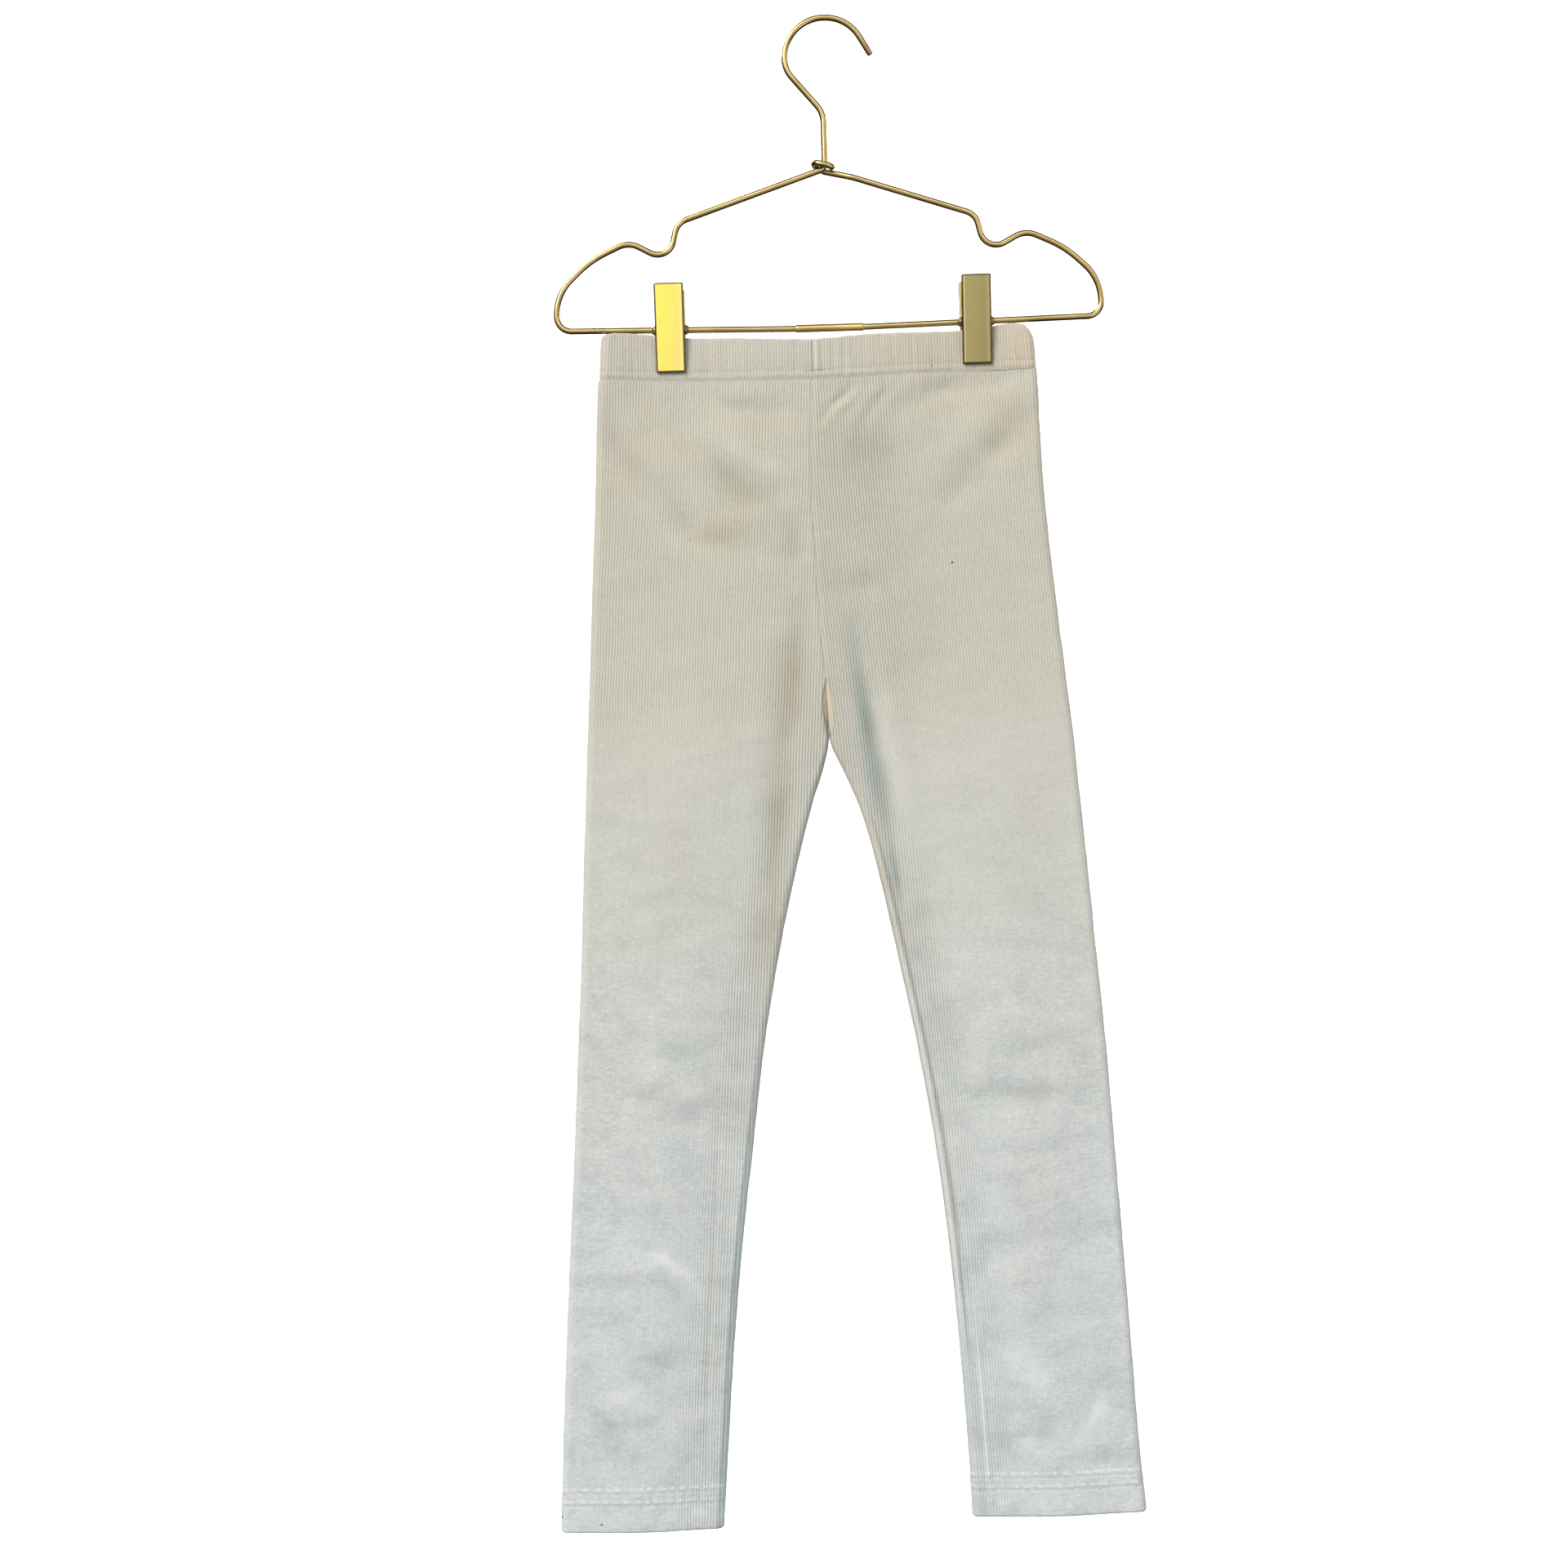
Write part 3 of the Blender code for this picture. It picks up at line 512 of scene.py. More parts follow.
# %% Sections across a leg
def spread_along(x, y, columns, *others):
    """Each row's curve read again at even steps, a little closer together where the curve bends."""
    step_x = np.diff(x, axis=1)
    step_y = np.diff(y, axis=1)
    length = np.hypot(step_x, step_y)
    heading = np.arctan2(step_y, step_x)
    turn = np.abs((np.diff(heading, axis=1) + math.pi) % (2 * math.pi) - math.pi)
    turn = np.pad(turn, ((0, 0), (1, 1)))
    turn = (turn[:, 1:] + turn[:, :-1]) / 2
    measure = np.cumsum(length + np.sqrt(BEND_SPREAD * length * turn), axis=1)
    measure = np.pad(measure, ((0, 0), (1, 0)))
    share = np.linspace(0.0, 1.0, columns + 1)
    read = []
    for curve in (x, y, *others):
        rows = [np.interp(share * row[-1], row, value) for row, value in zip(measure, curve)]
        read.append(np.array(rows))
    return read


def panel_section(side, drops):
    """The panel's middle line at each drop, from the front seam round the outer edge to the back seam."""
    name = "left" if side < 0 else "right"
    drop = np.asarray(drops, dtype=float)[:, None]
    seam_x = smooth(CENTRE_SEAM["drop"], CENTRE_SEAM["x"], drop)
    inseam_x = smooth(INNER_EDGES["drop"], INNER_EDGES[name], drop)
    near_inner = side * np.where(drop > CROTCH, inseam_x, seam_x)
    outer = side * smooth(OUTER_EDGES["drop"], OUTER_EDGES[name], drop) - CLOTH_WALL / 2
    turned = ease(drop, FRONT_FORK, FRONT_FORK + 10.0)
    seam = near_inner + turned * CLOTH_WALL / 2
    seam = np.where(drop > CROTCH, near_inner + CLOTH_WALL / 2, seam)
    front_reach = np.interp(drop, FRONT_TURN["drop"], FRONT_TURN[name])
    front_seam = np.interp(drop, FRONT_TURN["drop"], FRONT_TURN["back"])
    back_reach = np.interp(drop, BACK_TURN["drop"], BACK_TURN["reach"])
    back_seam = np.interp(drop, BACK_TURN["drop"], BACK_TURN["back"])

    quarter = np.linspace(0.0, math.pi / 2, QUARTER_POINTS)
    half = np.linspace(-math.pi / 2, math.pi / 2, EDGE_POINTS)
    flat = np.linspace(0.0, 1.0, FLAT_POINTS)[1:-1]
    front_start = seam + front_reach
    back_start = seam + back_reach
    edge = outer - EDGE_REACH
    across = np.concatenate((
        front_start - front_reach * np.cos(quarter),
        front_start + (edge - front_start) * flat,
        edge + EDGE_REACH * np.cos(half),
        edge + (back_start - edge) * flat,
        back_start - back_reach * np.cos(quarter[::-1]),
    ), axis=1)
    level = np.ones_like(flat) * np.ones_like(drop)
    face = np.concatenate((
        front_seam - (1.0 + front_seam) * np.sin(quarter),
        -level,
        np.sin(half) * np.ones_like(drop),
        level,
        back_seam + (1.0 - back_seam) * np.sin(quarter[::-1]),
    ), axis=1)
    depth = half_depth(side * across, drop, side * near_inner, side * outer)
    return across, face * depth, face, near_inner


def outward(x, y, closed_rows):
    """Unit vector square to each row's curve, pointing to its right as the curve runs."""
    along_x = np.gradient(x, axis=1)
    along_y = np.gradient(y, axis=1)
    wrap_x = x[:, 1] - x[:, -2]
    wrap_y = y[:, 1] - y[:, -2]
    for end in (0, -1):
        along_x[:, end] = np.where(closed_rows, wrap_x, along_x[:, end])
        along_y[:, end] = np.where(closed_rows, wrap_y, along_y[:, end])
    size = np.hypot(along_x, along_y)
    return along_y / size, -along_x / size


# %% [markdown]
# ## Creases
# A cloth simulation gives folds, but not these folds. Each crease is drawn one by one instead: a line of
# points, half its width, and its depth. Its section is a soft trough with a lower ridge along one side,
# it fades towards both ends, and its depth wanders a little on the way. A negative depth makes a ridge.

# %% Crease tables
# Each is: points as x and drop, half width, depth, share of the depth that the ridge beside it has.
FRONT_CREASES = (
    (((-137.4, 226.9), (-128.9, 248.3), (-109.0, 274.3), (-83.9, 302.9), (-52.2, 309.5)), 8.5, 1.9, 0.45),
    (((-97.9, 225.7), (-82.1, 242.5), (-59.8, 268.6), (-39.5, 280.7), (-27.3, 306.1)), 8.0, 1.6, 0.45),
    (((-84.8, 219.0), (-49.9, 226.1), (-18.0, 229.2)), 6.0, 1.0, 0.3),
    (((-10.3, 235.7), (-3.0, 225.0), (12.5, 211.9)), 2.6, 1.0, -0.8),
    (((13.6, 239.2), (22.0, 226.0), (31.0, 216.3)), 3.4, 0.8, 0.6),
    (((30.5, 231.6), (58.3, 218.8), (84.9, 214.3), (118.3, 208.9)), 6.0, 1.1, 0.35),
    (((118.0, 231.4), (91.8, 254.8), (64.1, 283.6)), 9.5, 1.8, -0.5),
    (((-9.6, 257.7), (18.9, 251.7), (49.2, 256.9)), 12.0, 1.0, 0.2),
    (((-24.3, 295.4), (-27.3, 322.6)), 7.0, 0.8, 0.2),
    (((-4.2, 332.8), (25.4, 329.5)), 7.0, 0.7, 0.2),
    (((-25.4, 350.0), (-30.8, 390.5), (-37.9, 436.8), (-44.0, 499.3)), 9.5, 1.8, -0.35),
    (((4.0, 357.7), (13.0, 403.8), (21.2, 450.6), (28.8, 510.1)), 6.5, 2.1, 0.6),
    (((-138.1, 623.5), (-114.4, 636.2), (-88.2, 645.2)), 8.0, 1.3, 0.5),
    (((-129.0, 588.0), (-104.0, 583.0)), 9.0, -0.7, 0.0),
    (((62.8, 632.0), (92.0, 637.0), (119.7, 632.5)), 8.0, 1.2, 0.5),
    (((78.0, 584.0), (104.0, 582.0)), 9.0, -0.7, 0.0),
    (((-140.3, 724.4), (-117.2, 729.3), (-105.5, 738.3), (-91.3, 751.2)), 6.0, -1.3, 0.35),
    (((-172.4, 737.4), (-140.0, 740.5), (-113.5, 741.4)), 5.0, 0.7, 0.3),
    (((62.0, 744.9), (76.4, 726.4), (101.1, 720.0), (148.4, 716.4)), 8.0, 1.2, -0.4),
    (((-144.2, 762.6), (-128.3, 780.9), (-108.8, 790.0)), 7.0, 0.9, 0.4),
    (((-160.1, 812.1), (-144.2, 828.9), (-128.1, 840.9)), 8.0, 1.1, 0.4),
    (((80.0, 795.6), (96.4, 797.6), (116.0, 804.0)), 7.0, -0.8, 0.2),
    (((76.0, 822.0), (93.1, 829.7), (120.0, 831.0)), 7.0, 0.9, 0.3),
    (((120.0, 818.0), (143.7, 823.7)), 7.0, -0.7, 0.2),
    (((128.0, 850.0), (152.0, 846.0)), 6.0, 0.8, 0.3),
    (((-81.0, 640.8), (-87.0, 731.7), (-91.8, 779.5), (-94.6, 858.0)), 1.7, 0.45, 0.4),
    (
        ((37.0, 590.0), (48.6, 650.0), (56.4, 715.0), (63.4, 762.1), (68.2, 808.8), (71.4, 872.9)),
        1.4, -0.5, 0.5,
    ),
    (((-150.0, 470.0), (-96.0, 478.0)), 5.0, 0.35, 0.3),
    (((48.0, 545.0), (126.0, 552.0)), 5.0, 0.4, 0.3),
    (((-156.0, 676.0), (-96.0, 684.0)), 5.0, 0.4, 0.3),
    (((88.0, 668.0), (148.0, 662.0)), 5.0, 0.4, 0.3),
)
BACK_CREASES = (
    (((-138.0, 226.0), (-118.0, 262.0), (-74.0, 292.0)), 9.5, 1.8, 0.45),
    (((-62.0, 222.0), (-44.0, 236.0), (-18.0, 254.0)), 7.0, 1.1, 0.4),
    (((116.0, 224.0), (92.0, 264.0), (52.0, 302.0)), 9.5, 1.9, -0.45),
    (((32.0, 224.0), (18.0, 242.0), (2.0, 264.0)), 7.0, 1.1, -0.4),
    (((-20.0, 366.0), (-36.0, 404.0), (-60.0, 444.0)), 9.0, 2.0, 0.5),
    (((0.0, 366.0), (18.0, 404.0), (42.0, 440.0)), 9.0, 2.0, -0.5),
    (((-30.0, 402.0), (-60.0, 418.0), (-104.0, 424.0)), 7.0, 1.0, 0.4),
    (((14.0, 400.0), (50.0, 414.0), (88.0, 418.0)), 7.0, 0.9, 0.4),
    (((-144.0, 620.0), (-112.0, 608.0), (-80.0, 604.0)), 7.0, 1.4, 0.5),
    (((-140.0, 640.0), (-108.0, 632.0), (-84.0, 634.0)), 6.0, 1.0, 0.4),
    (((52.0, 602.0), (84.0, 606.0), (124.0, 624.0)), 7.0, 1.4, 0.5),
    (((60.0, 634.0), (92.0, 634.0), (126.0, 644.0)), 6.0, 1.0, 0.4),
    (((-154.0, 744.0), (-122.0, 730.0), (-92.0, 724.0)), 8.0, 1.2, 0.4),
    (((68.0, 756.0), (104.0, 744.0), (144.0, 736.0)), 8.0, 1.1, 0.4),
    (((-160.0, 820.0), (-128.0, 812.0), (-104.0, 816.0)), 7.0, 0.9, 0.3),
    (((78.0, 806.0), (112.0, 814.0), (146.0, 808.0)), 7.0, 0.9, 0.3),
)
print("creases in front:", len(FRONT_CREASES), "behind:", len(BACK_CREASES))


# %% Crease depth
def crease(x, drop, line, width, depth, ridge):
    """Depth of one crease: a bell across its line, less a wider, lower bell along one side."""
    best = np.full(np.broadcast(x, drop).shape, 1e9)
    signed = np.zeros_like(best)
    run = np.zeros_like(best)
    points = np.array(line)
    lengths = np.hypot(*np.diff(points, axis=0).T)
    total = lengths.sum()
    walked = 0.0
    for start, end, length in zip(points, points[1:], lengths):
        along = (end - start) / length
        t = (x - start[0]) * along[0] + (drop - start[1]) * along[1]
        near = np.clip(t, 0.0, length)
        away_x = x - start[0] - near * along[0]
        away_drop = drop - start[1] - near * along[1]
        away = np.hypot(away_x, away_drop)
        closer = away < best
        best = np.where(closer, away, best)
        signed = np.where(closer, np.sign(away_x * along[1] - away_drop * along[0]) * away, signed)
        run = np.where(closer, (walked + near) / total, run)
        walked += length
    fade = np.sin(math.pi * np.clip(0.06 + 0.88 * run, 0.0, 1.0)) ** 0.7
    wander = 1.0 + 0.22 * np.sin(run * 9.0 + points[0, 0]) + 0.12 * np.sin(run * 21.0 + points[0, 1])
    side = np.sign(ridge) if ridge else 1.0
    trough = bell(signed, width * (1.0 + 0.2 * np.sin(run * 13.0 + points[0, 1])))
    beside = abs(ridge) * bell(signed - side * 1.75 * width, 1.15 * width)
    return depth * fade * wander * (trough - beside)


def crease_sum(x, drop, creases):
    return sum(crease(x, drop, *item) for item in creases)


# %% [markdown]
# ## Closed cloth walls
# Cloth has two sides. Each piece is a fine outer grid and an inner grid with half as many rows and
# columns, joined round every free edge, so it is one closed thin wall. A Solidify modifier would do it
# with twice the faces and without the hem's doubled thickness.

# %% Mesh from grids
SHARP_BEND = math.radians(50)


def raise_mesh(name, points, faces, maps, marks, material):
    """A mesh from face groups, with sharp rims.

    maps gives, for each UV map, one (u, v) for each point before merging. marks gives painted amounts.
    """
    flat = np.concatenate([group.reshape(-1) for group in faces])
    sizes = np.concatenate([np.full(len(group), group.shape[1]) for group in faces])
    merged = flat
    if isinstance(points, tuple):
        points, remap = points
        merged = remap[flat]
    used, index = np.unique(merged, return_inverse=True)
    starts = np.concatenate(([0], np.cumsum(sizes)[:-1]))
    mesh = bpy.data.meshes.new(name)
    mesh.vertices.add(len(used))
    mesh.vertices.foreach_set("co", (points[used] * MM).astype(np.float32).reshape(-1))
    mesh.loops.add(len(index))
    mesh.loops.foreach_set("vertex_index", index.astype(np.int32))
    mesh.polygons.add(len(sizes))
    mesh.polygons.foreach_set("loop_start", starts.astype(np.int32))
    mesh.update(calc_edges=True)
    for map_name, values in maps.items():
        layer = mesh.uv_layers.new(name=map_name)
        layer.uv.foreach_set("vector", values[flat].astype(np.float32).reshape(-1))
    for mark, amounts in (marks or {}).items():
        layer = mesh.attributes.new(mark, "FLOAT", "POINT")
        layer.data.foreach_set("value", amounts.reshape(-1)[used].astype(np.float32))
    mesh.validate()
    mesh.shade_smooth()
    mesh.set_sharp_from_angle(angle=SHARP_BEND)
    mesh.materials.append(material)
    made = bpy.data.objects.new(name, mesh)
    bpy.context.scene.collection.objects.link(made)
    triangles = int((sizes - 2).sum())
    print(f"{name}: {triangles} triangles")
    return made


def volume_sign(points, groups):
    """Whether the faces point outwards: the sign of the volume that their fans of triangles enclose."""
    total = 0.0
    for group in groups:
        corner = points[group]
        for step in range(1, group.shape[1] - 1):
            total += np.einsum("ij,ij->", corner[:, 0], np.cross(corner[:, step], corner[:, step + 1]))
    return math.copysign(1.0, total)


def fix_direction(points, groups):
    """Turns every face over where together they point inwards."""
    if volume_sign(points - points.mean(axis=0), groups) < 0:
        groups = [group[:, ::-1] for group in groups]
    return points, groups


def wrapped(index, axis):
    """A grid of point numbers with its first row (axis 0) or column (axis 1) again at the end."""
    return np.concatenate([index, index.take([0], axis=axis)], axis=axis)


def squares(index):
    """The four corners of every square in a grid of point numbers."""
    corners = [index[:-1, :-1], index[1:, :-1], index[1:, 1:], index[:-1, 1:]]
    return np.stack(corners, axis=2).reshape(-1, 4)


def capped(points, rings):
    """A solid from rings of points: squares between the rings and a cap on the first and the last."""
    index = np.arange(len(points)).reshape(rings, -1)
    caps = np.stack([index[0], index[-1, ::-1]])
    return fix_direction(points, [squares(wrapped(index, 1)), caps])


def bake_grid(rows, columns, left, right, top=0.99):
    """Where each point of a grid lies on the baked picture: columns go across it and rows up."""
    v, u = np.meshgrid(np.linspace(0.01, top, rows), np.linspace(left, right, columns), indexing="ij")
    return np.stack([u, v], axis=2).reshape(-1, 2)


def cloth_wall(name, outer, inner, pattern, marks, closing_row, material):
    """The closed wall between an outer grid and an inner grid of half its rows and columns."""
    rows, columns = outer.shape[:2]
    inner_rows, inner_columns = inner.shape[:2]
    index = np.arange(rows * columns).reshape(rows, columns)
    inside = np.arange(inner_rows * inner_columns).reshape(inner_rows, inner_columns) + rows * columns
    points = np.concatenate([outer.reshape(-1, 3), inner.reshape(-1, 3)])
    groups = [squares(index), squares(inside[:, ::-1])]
    stop = closing_row // 2
    rims = [(index[0], inside[0], 1), (index[-1], inside[-1], -1)]
    if stop:
        rims.append((index[:closing_row + 1, 0], inside[:stop + 1, 0], -1))
        rims.append((index[:closing_row + 1, -1], inside[:stop + 1, -1], 1))
    for edge, back, order in rims:
        rim = [edge[:-2:2], edge[1:-1:2], edge[2::2], back[1:], back[:-1]]
        groups.append(np.stack(rim[::order], axis=1))
    if volume_sign(points, groups) < 0:
        groups = [group[:, ::-1] for group in groups]
    remap = np.arange(len(points))
    remap[index[closing_row:, -1]] = index[closing_row:, 0]
    remap[inside[stop:, -1]] = inside[stop:, 0]
    bake = [bake_grid(rows, columns, 0.01, 0.77), bake_grid(inner_rows, inner_columns, 0.80, 0.99)]
    flat = [pattern.reshape(-1, 2), pattern[::2, ::2].reshape(-1, 2)]
    maps = {"OFBake": np.concatenate(bake), "pattern": np.concatenate(flat)}
    unpainted = np.zeros(inside.size)
    both = {mark: np.concatenate([amounts.reshape(-1), unpainted]) for mark, amounts in marks.items()}
    return raise_mesh(name, (points, remap), groups, maps, both, material)


# %% [markdown]
# ## The legs
# Each leg is one panel, sewn to itself down the inside and to the other panel up the middle. The hem is
# turned up inside and held by two rows of stitching, which draw the cloth in and pucker it. The seam up
# the middle lies in a narrow groove, with the cloth a little fuller on its right.

# %% Leg form
HEM_ROWS = (16.0, 23.3)
LEG_COLUMNS = 220


def leg_rows(hem):
    """Levels of the rows: closer at the waist, the crotch and the hem."""
    stretches = (
        (WAIST_LEVEL, 262.0, 40), (262.0, 382.0, 56), (382.0, CROTCH, 34), (CROTCH, 452.0, 20),
        (452.0, hem - 36.0, 156), (hem - 36.0, hem, 50),
    )
    rows = [np.linspace(start, end, steps + 1)[:-1] for start, end, steps in stretches]
    return np.append(np.concatenate(rows), hem)


def leg_detail(side, x, drop, face, beside_seam, hem):
    """How far the cloth stands out from the plain form: seams, stitch rows, puckers and slackness."""
    closed = ease(drop, FRONT_FORK - 4.0, FRONT_FORK + 8.0)
    seam = (1.0 - closed) * bell(beside_seam, 1.1)
    fuller = 0.22 if side > 0 else 0.08
    pucker = waves(11 + side, (drop, beside_seam), (9.0, 60.0)) * bell(beside_seam, 6.0)
    out = -0.22 * seam + (1.0 - closed) * (fuller * bell(beside_seam - 2.6, 1.2) + 0.16 * pucker)

    below = drop - WAIST_LEVEL
    gather = waves(21 + side, (x, below), (8.5, 90.0)) + 0.6 * waves(31 + side, (x, below), (4.4, 70.0))
    out = out - 0.12 * bell(below, 1.0) + 0.24 * gather * bell(below, 9.0) * ease(below, 0.2, 2.5)

    above = hem - drop
    stitched = sum(bell(above - row, 0.8) for row in HEM_ROWS)
    between = bell(above - sum(HEM_ROWS) / 2, 5.0)
    ripple = waves(41 + side, (x, above), (5.6, 26.0)) + 0.5 * waves(51 + side, (x, above), (2.9, 18.0))
    folded = 1.0 - ease(above, HEM_DEPTH - 1.0, HEM_DEPTH + 2.0)
    out = out + 0.35 * folded - 0.42 * stitched + 0.17 * ripple * between
    out = out + 0.16 * waves(61 + side, (x, above), (17.0, 30.0)) * folded
    out = out - 0.75 * np.clip(1.0 - above / 1.6, 0.0, 1.0) ** 2

    slack = 0.16 * waves(71 + side, (x, drop), (80.0, 26.0))
    slack = slack + 0.05 * waves(81 + side, (x, drop), (46.0, 11.0))
    calm = ease(drop, WAIST_LEVEL, WAIST_LEVEL + 12.0) * ease(above, 0.0, 30.0)
    return out + slack * calm * np.where(face < 0, 1.0, 1.1)


def leg_surface(side, hem, rows, columns):
    """Outer grid, inner grid, flat pattern, painted shade and light, and first closed row of one leg panel.
    """
    closed = rows >= CROTCH - 0.01
    across, y, face, innermost = panel_section(side, rows)
    across, y, face = spread_along(across, y, columns, face)
    x = side * across
    drop = rows[:, None]
    length = np.hypot(np.diff(across, axis=1), np.diff(y, axis=1))
    walked = np.pad(np.cumsum(length, axis=1), ((0, 0), (1, 0)))
    middle = slice(columns // 4, columns * 3 // 4)
    turn = np.array([np.interp(0.0, f, w) for f, w in zip(face[:, middle], walked[:, middle])])
    pattern = np.stack([side * (walked - turn[:, None]), drop + 0.0 * x], axis=2)

    front = crease_sum(x, drop, FRONT_CREASES)
    back = crease_sum(x, drop, BACK_CREASES)
    folds = np.where(face < 0, front, back)
    room = np.maximum(np.abs(y) - CLOTH_WALL / 2 - 0.3, 0.0)
    y = y - np.sign(face) * np.minimum(folds * face**2, room)

    square_across, square_y = outward(across, y, closed)
    beside_seam = across - innermost
    out = CLOTH_WALL / 2 + leg_detail(side, x, drop, face, beside_seam, hem)
    rim = np.where(closed[:, None], 0.0, bell(beside_seam, 0.5))
    lifted = (seam_level(x) - WAIST_LEVEL) * (1.0 - ease(drop, WAIST_LEVEL, 258.0))
    grid_across = np.maximum(across + square_across * out, innermost)
    grid_y = y + square_y * out
    z = -(drop + lifted) + 0.0 * x
    outer = np.stack([side * grid_across, grid_y, z], axis=2)
    outer[closed, 0] = outer[closed, -1] = (outer[closed, 0] + outer[closed, -1]) / 2

    thick = SHEET_WALL + HEM_EXTRA * ease(rows, hem - HEM_DEPTH - 2.0, hem - HEM_DEPTH)[:, None]
    inner_across = np.maximum(grid_across - square_across * thick, innermost)
    inner = np.stack([side * inner_across, grid_y - square_y * thick, z], axis=2)[::2, ::2]
    closed_inner = closed[::2]
    inner[closed_inner, 0] = (inner[closed_inner, 0] + inner[closed_inner, -1]) / 2
    inner[closed_inner, -1] = inner[closed_inner, 0]

    tone, hue, ribs = painted_marks(side, x, drop, face, beside_seam)
    # Painted shade in the creases and light on their ridges, painted shade at the seam's edge, and a
    # painted shadow just under the casing.
    tone = tone + np.clip(folds, -1.0, 2.0) * 0.20 + 0.12 * rim + 0.08 * bell(drop - WAIST_LEVEL, 1.2)
    tone = tone + hem_shade(side, x, hem - drop)
    marks = {"tone": tone, "hue": hue, "ribs": ribs}
    return outer, inner, pattern, marks, int(np.argmax(closed))


# %% [markdown]
# ## Painted shade
# Relief alone doesn't give every soft light and dark of the hanging cloth, so the rest is painted. Each leg
# therefore carries three amounts on its points: painted shade, painted warm light (warmth), and how far the
# ribs show. They come from soft patches, from bands along drawn lines, and from the distance to the inner
# edge. A negative shade is painted light and a negative warmth painted cool light.

# %% Shade tables
# Soft patches of painted shade and painted warm or cool light on the front: x, drop, half width, half
# height, shade, warmth.
FRONT_PATCHES = (
    (12.0, 262.0, 24.0, 26.0, 0.30, -0.05), (-26.0, 308.0, 16.0, 16.0, 0.10, 0.1),
    (-67.0, 300.0, 24.0, 14.0, 0.06, 0.38), (14.0, 330.0, 20.0, 8.0, 0.20, -0.1),
    (-104.5, 603.0, 15.0, 11.0, 0.34, -0.35), (-97.0, 622.0, 17.0, 5.0, 0.30, -0.25),
    (-118.0, 624.0, 9.0, 6.0, 0.20, -0.2), (-88.0, 612.0, 5.0, 9.0, 0.24, -0.3),
    (92.0, 606.0, 15.0, 11.0, 0.34, -0.4), (84.0, 628.0, 17.0, 6.0, 0.30, -0.3),
    (112.0, 632.0, 22.0, 6.0, 0.24, -0.2), (-104.0, 588.0, 16.0, 4.0, -0.22, 0.0),
    (88.0, 586.0, 20.0, 5.0, -0.22, 0.0), (-130.0, 672.0, 15.0, 9.0, 0.26, -0.1),
    (-104.0, 690.0, 16.0, 9.0, 0.22, 0.0), (-117.0, 779.0, 17.0, 13.0, 0.32, -0.05),
    (-153.6, 821.6, 13.0, 16.0, 0.32, -0.1), (-134.0, 800.0, 12.0, 7.0, -0.34, 0.0),
    (99.8, 801.0, 11.0, 8.0, -0.50, 0.0), (101.0, 759.0, 16.0, 12.0, 0.30, -0.1),
    (109.0, 818.0, 9.0, 12.0, 0.30, -0.1), (134.6, 831.0, 10.0, 11.0, -0.36, 0.0),
    (82.0, 841.0, 14.0, 7.0, 0.28, -0.1), (80.0, 230.0, 34.0, 8.0, 0.16, 0.25),
    (-52.0, 236.0, 26.0, 8.0, 0.20, 0.2), (104.0, 246.0, 26.0, 24.0, 0.02, 0.30),
    (-96.0, 470.0, 34.0, 30.0, -0.10, -0.12), (92.0, 420.0, 34.0, 46.0, -0.14, 0.05),
    (84.0, 548.0, 34.0, 24.0, -0.14, 0.0), (-112.0, 566.0, 30.0, 18.0, -0.16, 0.0),
    (-101.0, 873.0, 6.0, 5.0, -0.4, 0.0), (-106.0, 878.0, 4.0, 4.0, 0.4, -0.1),
    (77.0, 872.0, 4.0, 3.0, -0.4, 0.0), (83.0, 876.0, 7.0, 3.0, 0.5, -0.1),
)
